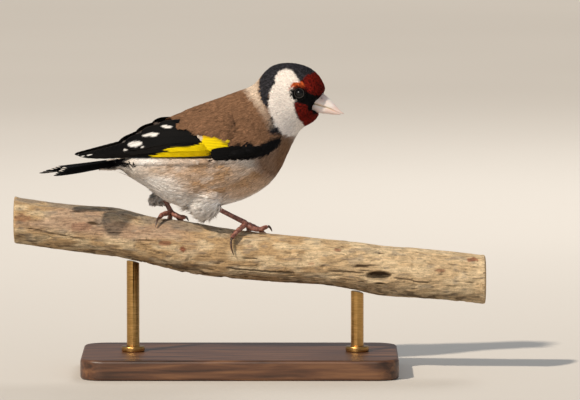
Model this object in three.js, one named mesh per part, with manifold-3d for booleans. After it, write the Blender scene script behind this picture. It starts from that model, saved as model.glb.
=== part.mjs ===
import * as THREE from 'three';
import { mergeVertices } from 'three/addons/utils/BufferGeometryUtils.js';
import Module from 'manifold-3d';

// European goldfinch perched on a cut length of bare branch, life size, in millimetres.
// +Z is up, the branch runs along X and the bird looks towards +X.
// Body sizes are given in the bird's own frame: u forward, v to its left, z up.

// Sizes that drive everything
const seam = 0.3;
const bodyYaw = THREE.MathUtils.degToRad(14);
const headYaw = THREE.MathUtils.degToRad(-8);
const bodyOriginX = -13;
const neckPivotU = 26.3;
const vaneThickness = 0.5;
const tailRootU = -36;
const tailTopZ = 84.4;
const tailSlope = 0.08;
const tailTurn = THREE.MathUtils.degToRad(16);
const tailRoll = THREE.MathUtils.degToRad(0.5);
const tailMiddleLength = 25.2;
const tailForkStep = 1.15;

// Coverts to face: top u and z, bottom u and z, half width, share of the turn to the head's
// heading, and how far the lower half narrows towards the bill
const bodyStations = [
  { top: [-43.4, 85.3], bottom: [-42.2, 80.6], half: 4.0, turn: 0, pinch: 0 },
  { top: [-39.0, 85.8], bottom: [-36.5, 79.4], half: 5.4, turn: 0, pinch: 0 },
  { top: [-31.0, 88.0], bottom: [-28.2, 75.9], half: 8.2, turn: 0, pinch: 0 },
  { top: [-23.8, 91.8], bottom: [-22.2, 72.4], half: 11.2, turn: 0, pinch: 0 },
  { top: [-17.7, 96.8], bottom: [-17.2, 68.3], half: 13.6, turn: 0, pinch: 0 },
  { top: [-10.8, 102.2], bottom: [-9.6, 65.5], half: 15.6, turn: 0, pinch: 0 },
  { top: [-2.8, 105.3], bottom: [-0.8, 64.6], half: 16.8, turn: 0, pinch: 0 },
  { top: [5.3, 107.9], bottom: [8.6, 65.9], half: 17.1, turn: 0, pinch: 0 },
  { top: [11.8, 110.1], bottom: [17.4, 68.5], half: 16.6, turn: 0.05, pinch: 0 },
  { top: [16.2, 111.6], bottom: [24.7, 73.2], half: 15.3, turn: 0.15, pinch: 0 },
  { top: [18.4, 112.8], bottom: [30.0, 79.8], half: 13.6, turn: 0.35, pinch: 0 },
  { top: [20.2, 114.4], bottom: [33.5, 87.2], half: 12.0, turn: 0.6, pinch: 0 },
  { top: [22.2, 116.9], bottom: [36.4, 92.8], half: 10.9, turn: 0.85, pinch: 0 },
  { top: [24.8, 119.2], bottom: [38.8, 95.8], half: 10.3, turn: 1, pinch: 0 },
  { top: [28.4, 120.9], bottom: [41.2, 97.2], half: 9.9, turn: 1, pinch: 0.02 },
  { top: [33.4, 121.4], bottom: [43.0, 98.6], half: 9.4, turn: 1, pinch: 0.08 },
  { top: [38.2, 120.7], bottom: [44.2, 100.2], half: 8.5, turn: 1, pinch: 0.26 },
  { top: [42.4, 118.4], bottom: [44.9, 101.8], half: 7.0, turn: 1, pinch: 0.42 },
  { top: [45.4, 115.0], bottom: [45.3, 103.0], half: 5.3, turn: 1, pinch: 0.4 },
  { top: [47.0, 111.8], bottom: [45.6, 104.2], half: 3.7, turn: 1, pinch: 0.3 },
];
const bodyRingCount = 32;
const bodyRingPoints = 28;
const tailCut = { top: [-33.5, 92], bottom: [-31.5, 70] };
const neckCut = { top: [19.0, 113.4], bottom: [31.4, 82] };
const headCut = { top: [22.6, 118.0], bottom: [36.8, 93.0] };

// Outer face of the folded wing: half width at the lower edge and how it draws in above it
const wingEdgeZ = 86;
const wingStations = [
  { u: -56, v: 3.4, slope: 0.5, curve: 0.0 },
  { u: -44, v: 5.9, slope: 0.42, curve: 0.03 },
  { u: -37, v: 7.9, slope: 0.36, curve: 0.05 },
  { u: -24, v: 11.6, slope: 0.20, curve: 0.034 },
  { u: -14, v: 15.0, slope: 0.08, curve: 0.022 },
  { u: -3, v: 16.9, slope: -0.02, curve: 0.014 },
  { u: 11, v: 17.0, slope: -0.05, curve: 0.008 },
  { u: 18.5, v: 16.0, slope: -0.05, curve: 0.008 },
  { u: 27, v: 12.8, slope: -0.05, curve: 0.008 },
];
const vaneStep = 0.41;
const stackTop = 0.32;
const stackRise = 2.6;
const stackRiseFrom = -30;
const stackRiseTo = -45;
const covertTilt = 0.2;
const pocketDepthLow = 6.4;
const pocketDepthHigh = 3.0;
const pocketFloorZ = 84.2;
const pocketLevels = [pocketFloorZ, 88, 91, 93.5, 96, 99, 104];
const pocketEnds = [-60, -0.5];
const pocketSteps = 14;
const pocketCeilings = [104, 99];
const pocketOpening = 40;
const middleWall = 0.2;

// Places along a vane with its width there as a share, root to tip
const vaneRows = [
  { along: 0, width: 0.55 },
  { along: 0.25, width: 0.88 },
  { along: 0.5, width: 1 },
  { along: 0.74, width: 0.95 },
  { along: 0.92, width: 0.62 },
  { along: 1, width: 0.22 },
];

// Vanes of the folded wing by u and z of root, middle and tip; each row steps on from its first
const tertialVanes = [
  { root: [3, 95.6], middle: [-9, 98.4], tip: [-21.2, 97.4], width: 5.2 },
  { root: [3, 94.4], middle: [-12, 98.0], tip: [-28.0, 94.7], width: 5.6 },
  { root: [3, 92.8], middle: [-14, 96.0], tip: [-34.8, 90.5], width: 5.6 },
];
const secondaryRow = {
  count: 4,
  root: [5, 91.8],
  rootStep: -0.6,
  middle: [-14, 93.6],
  middleStep: -0.75,
  tip: [-32.4, 90.4],
  tipStep: [-1.2, -0.5],
  width: 4.8,
  widthStep: 0,
};
const primaryRow = {
  count: 6,
  root: [9, 89.8],
  rootStep: -0.4,
  middle: [-20, 90.7],
  middleStep: -0.56,
  tip: [-37.6, 89.0],
  tipStep: [-2.95, -0.5],
  width: 4.5,
  widthStep: -0.1,
};
const greaterCovertRow = {
  count: 5,
  root: [6, 89.6],
  rootStep: 1.5,
  middle: [1, 90.2],
  middleStep: 1.6,
  tip: [-3.6, 90.2],
  tipStep: [-1.1, 1.65],
  width: 3.1,
  widthStep: 0,
};
const greaterCovertDepths = { rootDepth: 0.3, tipDepth: -0.35, tilt: covertTilt };
const handCoverts = [
  { root: [15, 89.0], middle: [6, 88.6], tip: [-3.2, 88.0], width: 2.9, tipDepth: -0.3 },
  { root: [16, 88.0], middle: [8, 87.0], tip: [-2.2, 86.5], width: 2.7, tipDepth: -0.7 },
  { root: [20, 89.2], middle: [13, 87.6], tip: [5.0, 86.9], width: 2.6, tipDepth: -1.5 },
];
const handCovertDepths = { rootDepth: 0.4, tilt: 0.1 };

// Arm of the wing, rear to front: u, lower edge, upper edge, how deep its outer face lies
const armStations = [
  { u: -1.5, low: 86.4, high: 96.6, sink: 1.5 },
  { u: 2.5, low: 85.6, high: 97.4, sink: 0.2 },
  { u: 6, low: 85.3, high: 97.8, sink: 0 },
  { u: 12, low: 85.2, high: 97.2, sink: 0 },
  { u: 17, low: 85.6, high: 95.6, sink: 0 },
  { u: 21.5, low: 86.5, high: 93.8, sink: 0.1 },
  { u: 24.6, low: 88.0, high: 91.6, sink: 0.4 },
];

// Height share and depth of the arm's outer face, lower edge to upper edge
const armFace = [
  { share: 0, depth: -0.2 },
  { share: 0.25, depth: -0.7 },
  { share: 0.6, depth: -0.8 },
  { share: 0.88, depth: -0.3 },
  { share: 1, depth: 0.5 },
];
const armBackShares = [1, 0.75, 0.5, 0.25, 0];

// Tail feathers: share of the half width near the tip, and where their edges lie when spread
const tailFeatherCount = 6;
const tailTipShares = [1, 1, 1, 0.94, 0.62, 0.2];
const tailSpreadLength = 26;
const tailEdges = {
  rootNear: 0.2,
  rootNearStep: 0.1,
  rootFar: 2.2,
  rootFarStep: 0.15,
  near: 0.2,
  far: 4.9,
  step: 0.68,
};
const tailFeatherTilt = 0.1;

// Eye and bill, head frame
const eyeCentre = { u: 38.0, v: 6.4, z: 109.7 };
const eyeRadius = 3.1;
const lidRingRadius = 2.45;
const lidTubeRadius = 0.42;
const lidOut = 8.75;
const lidTurn = THREE.MathUtils.degToRad(6);
const upperBillStations = [
  { top: [42.6, 110.6], bottom: [41.6, 105.6], half: 3.2 },
  { top: [44.6, 110.2], bottom: [43.4, 105.3], half: 3.3 },
  { top: [46.6, 109.2], bottom: [45.4, 104.8], half: 3.0 },
  { top: [48.4, 107.8], bottom: [47.3, 104.2], half: 2.45 },
  { top: [50.3, 105.9], bottom: [49.5, 103.4], half: 1.8 },
  { top: [52.1, 104.0], bottom: [51.6, 102.4], half: 1.15 },
  { top: [53.7, 102.4], bottom: [53.4, 101.7], half: 0.55 },
  { top: [54.8, 101.5], bottom: [54.7, 101.2], half: 0.15 },
];
const lowerBillStations = [
  { top: [41.4, 105.2], bottom: [40.6, 102.6], half: 2.9 },
  { top: [43.3, 104.9], bottom: [42.8, 102.2], half: 3.0 },
  { top: [45.3, 104.4], bottom: [45.0, 101.8], half: 2.75 },
  { top: [47.2, 103.8], bottom: [47.0, 101.5], half: 2.2 },
  { top: [49.4, 103.0], bottom: [49.2, 101.3], half: 1.6 },
  { top: [51.5, 102.0], bottom: [51.4, 101.1], half: 0.95 },
  { top: [53.0, 101.4], bottom: [52.9, 101.1], half: 0.3 },
];
const upperBillFlat = 0.25;
const lowerBillFlat = 0.7;
const billRingPoints = 16;
const nostril = { u: 47.0, v: 2.75, z: 107.0, radius: 0.55 };

// Legs: thigh and tarsus points with their radii, then each toe along the perch by x, angle from
// the perch's top towards the viewer and lift above its surface
const legs = {
  right: {
    thigh: [
      [-11.5, -7.0, 77],
      [-12.2, -7.0, 71],
      [-13.2, -6.4, 66.5],
      [-13.6, -5.9, 63.0],
      [-13.6, -5.6, 60.4],
    ],
    thighRadii: [6.6, 7.0, 6.4, 4.2, 0.9],
    tarsus: [[-14.5, -6.0, 68.2], [-8.0, -4.4, 64.3], [2.2, -2.0, 58.9]],
    ankle: [2.4, -2.0, 58.6],
    toes: [
      {
        name: 'toe_1',
        x: [0.6, -1.6, -3.0],
        angle: [20, 36, 50],
        lift: [1.9, 1.35, 1.25],
        clawX: [-3.5, -3.2, -2.3],
        clawAngle: [60, 74, 87],
      },
      {
        name: 'toe_2',
        x: [3.2, 3.4, 3.2],
        angle: [-12, -34, -54],
        lift: [1.7, 1.3, 1.2],
        clawX: [3.1, 3.0, 2.8],
        clawAngle: [-62, -74, -86],
      },
      {
        name: 'toe_3',
        x: [5.4, 8.0, 10.2],
        angle: [-8, -26, -46],
        lift: [1.7, 1.25, 1.2],
        clawX: [10.8, 11.2, 11.4],
        clawAngle: [-54, -66, -78],
      },
      {
        name: 'toe_4',
        x: [4.8, 7.6, 10.6],
        angle: [12, 10, 2],
        lift: [1.5, 1.35, 2.3],
        clawX: [11.4, 12.1, 12.6],
        clawAngle: [1, 0, -1],
      },
    ],
  },
  left: {
    thigh: [
      [-28.0, 6.5, 77],
      [-28.3, 6.2, 72.5],
      [-28.8, 5.4, 69],
      [-29.2, 4.4, 66.6],
      [-29.4, 4.0, 65.4],
    ],
    thighRadii: [4.6, 4.8, 4.0, 2.6, 1.3],
    tarsus: [[-31.5, 4.8, 72.0], [-29.6, 3.4, 67.6], [-27.1, 1.7, 62.9]],
    ankle: [-27.0, 1.5, 62.6],
    toes: [
      {
        name: 'toe_1',
        x: [-28.8, -30.4, -31.4],
        angle: [6, 16, 27],
        lift: [1.8, 1.6, 1.3],
        clawX: [-32.0, -32.6, -33.0],
        clawAngle: [33, 42, 52],
      },
      {
        name: 'toe_2',
        x: [-25.2, -23.4, -21.8],
        angle: [6, 6, 0],
        lift: [1.6, 1.3, 1.2],
        clawX: [-21.2, -20.6, -20.2],
        clawAngle: [-6, -15, -25],
      },
      {
        name: 'toe_3',
        x: [-25.0, -23.4, -22.0],
        angle: [-18, -34, -52],
        lift: [1.6, 1.25, 1.2],
        clawX: [-21.5, -21.0, -20.6],
        clawAngle: [-60, -72, -84],
      },
      {
        name: 'toe_4',
        x: [-27.4, -27.8, -28.2],
        angle: [-24, -42, -58],
        lift: [1.6, 1.25, 1.2],
        clawX: [-28.6, -29.0, -29.2],
        clawAngle: [-66, -78, -90],
      },
    ],
  },
};
const tarsusRadii = [1.1, 0.98, 0.9, 1.05];
const toeRadii = [0.95, 0.9, 0.85, 0.8, 0.75, 0.7];
const clawRadii = [0.66, 0.55, 0.4, 0.15];
const clawRootLift = 0.15;
const clawMiddleShare = 0.7;
const clawTipLift = 0.5;
const thighSides = 20;
const tarsusSides = 12;
const toeSides = 8;
const clawSides = 6;

// Perch and stand
const perchStations = [
  { x: -88.6, z: 59.9, r: 9.5 },
  { x: -70.6, z: 57.5, r: 9.7 },
  { x: -51.7, z: 55.2, r: 10.0 },
  { x: -35.3, z: 51.9, r: 10.0 },
  { x: -21.2, z: 49.2, r: 10.4 },
  { x: -7.1, z: 46.9, r: 10.2 },
  { x: 7.1, z: 45.4, r: 9.8 },
  { x: 23.5, z: 44.2, r: 9.7 },
  { x: 42.3, z: 42.2, r: 9.9 },
  { x: 54.9, z: 40.1, r: 10.4 },
  { x: 70.6, z: 38.7, r: 10.1 },
  { x: 83.1, z: 37.7, r: 10.0 },
  { x: 96.4, z: 36.4, r: 10.0 },
];
const perchRingCount = 26;
const perchRingPoints = 18;
const baseLength = 124;
const baseWidth = 66;
const baseHeight = 8;
const baseCorner = 9;
const baseBevel = 1.2;
const rodRadius = 2.5;
const rodSocketDepth = 4;
const rodPlaces = { rear: -42, front: 46 };
const rodSides = 24;

const colours = {
  mantle: '#8a6a48',
  breast: '#b59a76',
  head: '#8e1f1c',
  wing: '#1c1916',
  tail: '#221d19',
  thigh: '#d9d0c2',
  bill: '#d9bfae',
  eye: '#120d0b',
  leg: '#9c6a5c',
  claw: '#3c2c25',
  branch: '#b5a48c',
  base: '#6b4a31',
  rod: '#b08d57',
};

// Solids
const wasm = await Module();
wasm.setup();

function signedVolume(positions, indices) {
  let total = 0;
  const a = new THREE.Vector3();
  const b = new THREE.Vector3();
  const c = new THREE.Vector3();
  for (let i = 0; i < indices.length; i += 3) {
    a.fromArray(positions, indices[i] * 3);
    b.fromArray(positions, indices[i + 1] * 3);
    c.fromArray(positions, indices[i + 2] * 3);
    total += a.dot(b.cross(c));
  }
  return total / 6;
}

function closedGeometry(positions, indices) {
  const geometry = new THREE.BufferGeometry();
  geometry.setAttribute('position', new THREE.Float32BufferAttribute(positions, 3));
  geometry.setIndex(indices);
  return geometry;
}

function toSolid(geometry) {
  const plain = geometry.clone();
  plain.deleteAttribute('normal');
  plain.deleteAttribute('uv');
  const merged = mergeVertices(plain, 1e-3);
  const positions = new Float32Array(merged.getAttribute('position').array);
  const corners = new Uint32Array(merged.getIndex().array);
  if (signedVolume(positions, corners) < 0) {
    corners.reverse();
  }
  return new wasm.Manifold(new wasm.Mesh({ numProp: 3, vertProperties: positions, triVerts: corners }));
}

function largestPiece(solid) {
  const pieces = solid.decompose();
  return pieces.reduce((best, piece) => (piece.volume() > best.volume() ? piece : best));
}

function toGeometry(solid) {
  const mesh = largestPiece(solid).getMesh();
  const geometry = new THREE.BufferGeometry();
  geometry.setAttribute('position', new THREE.Float32BufferAttribute(mesh.vertProperties, 3));
  geometry.setIndex(Array.from(mesh.triVerts));
  return geometry;
}

// Closed skin over rings of points with fanned ends
function loft(rings) {
  const count = rings[0].length;
  const positions = [];
  const indices = [];
  rings.forEach((ring) => ring.forEach((point) => positions.push(point.x, point.y, point.z)));
  for (let i = 0; i < rings.length - 1; i += 1) {
    for (let j = 0; j < count; j += 1) {
      const next = (j + 1) % count;
      const a = i * count + j;
      const b = i * count + next;
      indices.push(a, b, b + count, a, b + count, a + count);
    }
  }
  [0, rings.length - 1].forEach((end) => {
    const centre = new THREE.Vector3();
    rings[end].forEach((point) => centre.addScaledVector(point, 1 / count));
    const hub = positions.length / 3;
    positions.push(centre.x, centre.y, centre.z);
    for (let j = 0; j < count; j += 1) {
      const a = end * count + j;
      const b = end * count + ((j + 1) % count);
      if (end === 0) {
        indices.push(b, a, hub);
      } else {
        indices.push(a, b, hub);
      }
    }
  });
  return toSolid(closedGeometry(positions, indices));
}

// Thin sheet around a grid of middle points, split alike on both faces
function sheet(grid) {
  const rows = grid.length;
  const columns = grid[0].length;
  const positions = [];
  const indices = [];
  [0.5, -0.5].forEach((half) => {
    grid.forEach((row, i) => row.forEach((point, j) => {
      const along = grid[Math.min(i + 1, rows - 1)][j].clone().sub(grid[Math.max(i - 1, 0)][j]);
      const across = row[columns - 1].clone().sub(row[0]);
      const up = along.cross(across).normalize();
      const moved = point.clone().addScaledVector(up, half * vaneThickness);
      positions.push(moved.x, moved.y, moved.z);
    }));
  });
  const at = (side, row, column) => (side * rows + row) * columns + column;
  for (let i = 0; i < rows - 1; i += 1) {
    for (let j = 0; j < columns - 1; j += 1) {
      indices.push(at(0, i, j), at(0, i, j + 1), at(0, i + 1, j + 1));
      indices.push(at(0, i, j), at(0, i + 1, j + 1), at(0, i + 1, j));
      indices.push(at(1, i, j), at(1, i + 1, j + 1), at(1, i, j + 1));
      indices.push(at(1, i, j), at(1, i + 1, j), at(1, i + 1, j + 1));
    }
  }
  const rim = [];
  for (let j = 0; j < columns; j += 1) {
    rim.push([0, j]);
  }
  for (let i = 1; i < rows; i += 1) {
    rim.push([i, columns - 1]);
  }
  for (let j = columns - 2; j >= 0; j -= 1) {
    rim.push([rows - 1, j]);
  }
  for (let i = rows - 2; i > 0; i -= 1) {
    rim.push([i, 0]);
  }
  rim.forEach(([row, column], index) => {
    const [nextRow, nextColumn] = rim[(index + 1) % rim.length];
    const a = at(0, row, column);
    const b = at(0, nextRow, nextColumn);
    const c = at(1, nextRow, nextColumn);
    const d = at(1, row, column);
    indices.push(b, a, d, b, d, c);
  });
  return toSolid(closedGeometry(positions, indices));
}

function mix(a, b, t) {
  return a + (b - a) * t;
}

function clamp(value, low, high) {
  return Math.min(Math.max(value, low), high);
}

function ease(t) {
  const held = clamp(t, 0, 1);
  return held * held * (3 - 2 * held);
}

// Reads a list of stations at any place along one of its keys
function readAlong(stations, key, place, wanted) {
  const last = stations.length - 1;
  let index = 0;
  while (index < last - 1 && place > stations[index + 1][key]) {
    index += 1;
  }
  const from = stations[index];
  const to = stations[index + 1];
  const share = clamp((place - from[key]) / (to[key] - from[key]), 0, 1);
  const before = stations[Math.max(index - 1, 0)];
  const after = stations[Math.min(index + 2, last)];
  const span = to[key] - from[key];
  const slopeFrom = (to[wanted] - before[wanted]) / Math.max(to[key] - before[key], 1e-6);
  const slopeTo = (after[wanted] - from[wanted]) / Math.max(after[key] - from[key], 1e-6);
  const s2 = share * share;
  const s3 = s2 * share;
  return (2 * s3 - 3 * s2 + 1) * from[wanted] + (s3 - 2 * s2 + share) * span * slopeFrom
    + (3 * s2 - 2 * s3) * to[wanted] + (s3 - s2) * span * slopeTo;
}

// Plan place of a point u along the bird, bent at the neck towards the head's heading
function planPlace(u) {
  const bodyPart = Math.min(u, neckPivotU);
  const headPart = Math.max(u - neckPivotU, 0);
  return new THREE.Vector2(
    bodyOriginX + bodyPart * Math.cos(bodyYaw) + headPart * Math.cos(headYaw),
    bodyPart * Math.sin(bodyYaw) + headPart * Math.sin(headYaw),
  );
}

function fromBody(u, v, z) {
  return new THREE.Vector3(
    bodyOriginX + u * Math.cos(bodyYaw) - v * Math.sin(bodyYaw),
    u * Math.sin(bodyYaw) + v * Math.cos(bodyYaw),
    z,
  );
}

function fromHead(u, v, z) {
  const plan = planPlace(u);
  return new THREE.Vector3(plan.x - v * Math.sin(headYaw), plan.y + v * Math.cos(headYaw), z);
}

// Whole body from the tail coverts to the face, grown by a margin for sockets
function bodySolid(grow) {
  const tops = new THREE.CatmullRomCurve3(
    bodyStations.map((s) => new THREE.Vector3(s.top[0], s.top[1], s.half)),
  );
  const bottoms = new THREE.CatmullRomCurve3(
    bodyStations.map((s) => new THREE.Vector3(s.bottom[0], s.bottom[1], s.turn * 10)),
  );
  const pinches = new THREE.CatmullRomCurve3(
    bodyStations.map((s, index) => new THREE.Vector3(s.pinch * 10, index, 0)),
  );
  const rings = [];
  for (let i = 0; i <= bodyRingCount; i += 1) {
    const share = i / bodyRingCount;
    const upper = tops.getPoint(share);
    const lower = bottoms.getPoint(share);
    const pinch = pinches.getPoint(share).x / 10;
    const heading = mix(bodyYaw, headYaw, lower.z / 10);
    const upperPlan = planPlace(upper.x);
    const lowerPlan = planPlace(lower.x);
    const top = new THREE.Vector3(upperPlan.x, upperPlan.y, upper.y);
    const bottom = new THREE.Vector3(lowerPlan.x, lowerPlan.y, lower.y);
    const rise = top.clone().sub(bottom).normalize();
    top.addScaledVector(rise, grow);
    bottom.addScaledVector(rise, -grow);
    const centre = bottom.clone().lerp(top, 0.48);
    const across = new THREE.Vector3(-Math.sin(heading), Math.cos(heading), 0);
    const ring = [];
    for (let j = 0; j < bodyRingPoints; j += 1) {
      const angle = (j / bodyRingPoints) * Math.PI * 2;
      const narrowing = 1 - pinch * Math.max(-Math.sin(angle), 0) ** 0.7;
      const side = Math.sign(Math.cos(angle)) * Math.abs(Math.cos(angle)) ** 0.92 * narrowing;
      const height = Math.abs(Math.sin(angle)) ** 0.96;
      const target = Math.sin(angle) >= 0 ? top : bottom;
      const point = centre.clone().lerp(target, height);
      point.addScaledVector(across, side * (upper.z + grow));
      ring.push(point);
    }
    rings.push(ring);
  }
  return loft(rings);
}

// Half space behind a cut that runs through two points of the body's middle plane
function behindCut(cut, shift) {
  const reach = 120;
  const top = planPlace(cut.top[0]);
  const bottom = planPlace(cut.bottom[0]);
  const from = new THREE.Vector3(bottom.x, bottom.y, cut.bottom[1]);
  const rise = new THREE.Vector3(top.x, top.y, cut.top[1]).sub(from).normalize();
  const across = new THREE.Vector3(-Math.sin(bodyYaw), Math.cos(bodyYaw), 0);
  across.addScaledVector(rise, -across.dot(rise)).normalize();
  const back = new THREE.Vector3().crossVectors(rise, across).normalize();
  if (back.x > 0) {
    back.negate();
  }
  const frame = new THREE.Matrix4().makeBasis(back, across, rise);
  frame.setPosition(from.addScaledVector(back, reach + shift));
  const box = new THREE.BoxGeometry(reach * 2, reach * 2, reach * 2);
  box.applyMatrix4(frame);
  return toSolid(box);
}

// Outer face of the folded right wing and its outward direction, in the bird's frame
function wingHalf(u, z) {
  const rise = z - wingEdgeZ;
  const edge = readAlong(wingStations, 'u', u, 'v');
  const slope = readAlong(wingStations, 'u', u, 'slope');
  const curve = readAlong(wingStations, 'u', u, 'curve');
  return edge - slope * rise - curve * rise * Math.abs(rise);
}

// Point at a depth below that face, moved straight inwards so its height stays as given
function wingPoint(u, z, depth, side) {
  const drawIn = wingHalf(u, z - 0.5) - wingHalf(u, z + 0.5);
  return fromBody(u, (depth * Math.hypot(1, drawIn) - wingHalf(u, z)) * side, z);
}

// The stack of vanes comes outwards behind the wing's longer upper feathers
function stackLift(u) {
  return stackRise * ease((stackRiseFrom - u) / (stackRiseFrom - stackRiseTo));
}

function pocketDepth(u, z) {
  return mix(pocketDepthLow, pocketDepthHigh, ease((z - 92) / 5)) - stackLift(u);
}

// Room that the folded wing takes out of the trunk, open to the outside
function wingPocket(side) {
  const rings = [];
  const outwards = fromBody(0, -side, 0).sub(fromBody(0, 0, 0));
  for (let i = 0; i <= pocketSteps; i += 1) {
    const u = mix(pocketEnds[0], pocketEnds[1], i / pocketSteps);
    const ceiling = mix(pocketCeilings[0], pocketCeilings[1], ease((u + 12) / 11));
    const ring = pocketLevels.map((level) => {
      const z = Math.min(level, ceiling);
      const wall = wingPoint(u, z, pocketDepth(u, z), side);
      const middle = fromBody(u, -middleWall * side, z);
      return wall.clone().sub(middle).dot(outwards) > 0 ? wall : middle;
    });
    ring.push(fromBody(u, -pocketOpening * side, ceiling));
    ring.push(fromBody(u, -pocketOpening * side, pocketFloorZ));
    rings.push(ring);
  }
  return loft(rings);
}

// Solid arm of the wing that all its feathers grow from
function wingArm(side, grow) {
  const rings = armStations.map((station, index) => {
    const low = station.low - grow;
    const high = station.high + grow;
    const atEnd = index === 0 || index === armStations.length - 1;
    const u = station.u + (atEnd ? grow * Math.sign(index - 0.5) : 0);
    const ring = armFace.map(({ share, depth }) => (
      wingPoint(u, mix(low, high, share), depth + station.sink - grow, side)
    ));
    armBackShares.forEach((share) => {
      const z = mix(low, high, share);
      const depth = pocketDepth(u, z) - 2 * seam;
      ring.push(wingPoint(u, z, depth + grow, side));
    });
    return ring;
  });
  return loft(rings);
}

// One vane of the wing: root, middle and tip in u and z, width, depth at root and tip, tilt
function wingFeather(side, feather) {
  const { root, middle, tip, width, rootDepth, tipDepth, tilt } = feather;
  const path = new THREE.QuadraticBezierCurve(
    new THREE.Vector2(root[0], root[1]),
    new THREE.Vector2(middle[0], middle[1]),
    new THREE.Vector2(tip[0], tip[1]),
  );
  const grid = vaneRows.map((row) => {
    const { along } = row;
    const point = path.getPoint(along);
    const tangent = path.getTangent(along);
    const cross = new THREE.Vector2(tangent.y, -tangent.x).multiplyScalar(-Math.sign(tangent.x));
    const depth = mix(rootDepth, tipDepth, ease(along * 2.5));
    return [-0.5, 0.5].map((place) => {
      const offset = place * width * row.width;
      const u = point.x + cross.x * offset;
      const z = point.y + cross.y * offset;
      return wingPoint(u, z, depth + tilt * offset - stackLift(u), side);
    });
  });
  return sheet(grid);
}

// Row of like vanes, each a step on from the one before
function steppedRow(row) {
  const list = [];
  for (let k = 0; k < row.count; k += 1) {
    list.push({
      root: [row.root[0], row.root[1] + k * row.rootStep],
      middle: [row.middle[0], row.middle[1] + k * row.middleStep],
      tip: [row.tip[0] + k * row.tipStep[0], row.tip[1] + k * row.tipStep[1]],
      width: row.width + k * row.widthStep,
    });
  }
  return list;
}

// Every vane of one wing: the stack from the uppermost tertial down, then the coverts over it
function wingFeathers() {
  const stack = [...tertialVanes, ...steppedRow(secondaryRow), ...steppedRow(primaryRow)];
  const list = stack.map((vane, layer) => {
    const depth = stackTop + layer * vaneStep;
    return { ...vane, rootDepth: depth, tipDepth: depth, tilt: 0 };
  });
  steppedRow(greaterCovertRow).forEach((covert) => list.push({ ...covert, ...greaterCovertDepths }));
  handCoverts.forEach((covert) => list.push({ ...covert, ...handCovertDepths }));
  return list;
}

// Wing with all its feathers, kept to its own side of the bird's middle plane
function wingSolid(side) {
  let solid = wingArm(side, 0);
  wingFeathers().forEach((feather) => {
    solid = solid.add(wingFeather(side, feather));
  });
  const otherSide = new THREE.BoxGeometry(160, 80, 80);
  otherSide.translate(0, (40 - seam / 2) * side, wingEdgeZ);
  otherSide.rotateZ(bodyYaw);
  otherSide.translate(bodyOriginX, 0, 0);
  return solid.subtract(toSolid(otherSide));
}

// Point of the tail: distance behind its root, sideways place and height, turned with the tail
function tailPoint(along, across, height) {
  const rolled = height + across * Math.sin(tailRoll);
  return fromBody(
    tailRootU - along * Math.cos(tailTurn) - across * Math.sin(tailTurn),
    across * Math.cos(tailTurn) - along * Math.sin(tailTurn),
    rolled,
  );
}

// Tail feather number k from the middle, on one side
function tailFeather(side, k) {
  const length = tailMiddleLength + k * tailForkStep;
  const places = [0, 6, 12, length - 4, length - 1.2, length];
  const grid = places.map((along, index) => {
    const spread = ease(along / tailSpreadLength);
    const rootNear = tailEdges.rootNear + tailEdges.rootNearStep * k;
    const rootFar = tailEdges.rootFar + tailEdges.rootFarStep * k;
    const nearEdge = mix(rootNear, tailEdges.near + tailEdges.step * k, spread);
    const farEdge = mix(rootFar, tailEdges.far + tailEdges.step * k, spread);
    const middle = (nearEdge + farEdge) / 2;
    const half = ((farEdge - nearEdge) / 2) * tailTipShares[index];
    const layer = tailTopZ - k * vaneStep - along * tailSlope;
    return [-1, 1].map((edge) => (
      tailPoint(along, (middle + edge * half) * side, layer - tailFeatherTilt * edge * half)
    ));
  });
  return sheet(grid);
}

// Round-section limb along a curve with a radius at each point
function limb(points, radii, sides, grow) {
  const curve = new THREE.CatmullRomCurve3(points);
  const stepCount = (points.length - 1) * 2;
  const rings = [];
  for (let i = 0; i <= stepCount; i += 1) {
    const share = i / stepCount;
    const point = curve.getPoint(share);
    const tangent = curve.getTangent(share);
    const level = new THREE.Vector3(0, 0, 1);
    if (Math.abs(tangent.z) > 0.9) {
      level.set(1, 0, 0);
    }
    const across = new THREE.Vector3().crossVectors(tangent, level).normalize();
    const over = new THREE.Vector3().crossVectors(across, tangent).normalize();
    const place = share * (radii.length - 1);
    const from = Math.min(Math.floor(place), radii.length - 2);
    const radius = mix(radii[from], radii[from + 1], place - from) + grow;
    const ring = [];
    for (let j = 0; j < sides; j += 1) {
      const angle = (j / sides) * Math.PI * 2;
      ring.push(point.clone()
        .addScaledVector(across, Math.cos(angle) * radius)
        .addScaledVector(over, Math.sin(angle) * radius));
    }
    rings.push(ring);
  }
  return loft(rings);
}

function perchRead(x, wanted) {
  return readAlong(perchStations, 'x', x, wanted);
}

// Point at a lift above the perch, angle in degrees from the top towards the viewer
function onPerch(x, angle, lift) {
  const turn = THREE.MathUtils.degToRad(angle);
  const reach = perchRead(x, 'r') + lift;
  return new THREE.Vector3(x, -Math.sin(turn) * reach, perchRead(x, 'z') + Math.cos(turn) * reach);
}

function perchSolid(grow) {
  const rings = [];
  const first = perchStations[0].x;
  const last = perchStations[perchStations.length - 1].x;
  for (let i = 0; i <= perchRingCount; i += 1) {
    const x = mix(first, last, i / perchRingCount);
    const ring = [];
    for (let j = 0; j < perchRingPoints; j += 1) {
      const angle = (j / perchRingPoints) * 360;
      const broadLump = 0.18 * Math.sin(angle * 0.0524 + x * 0.11);
      const fineLump = 0.14 * Math.sin(angle * 0.0873 - x * 0.07);
      ring.push(onPerch(x, angle, grow + Math.min(broadLump + fineLump, 0)));
    }
    rings.push(ring);
  }
  return loft(rings);
}

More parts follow.
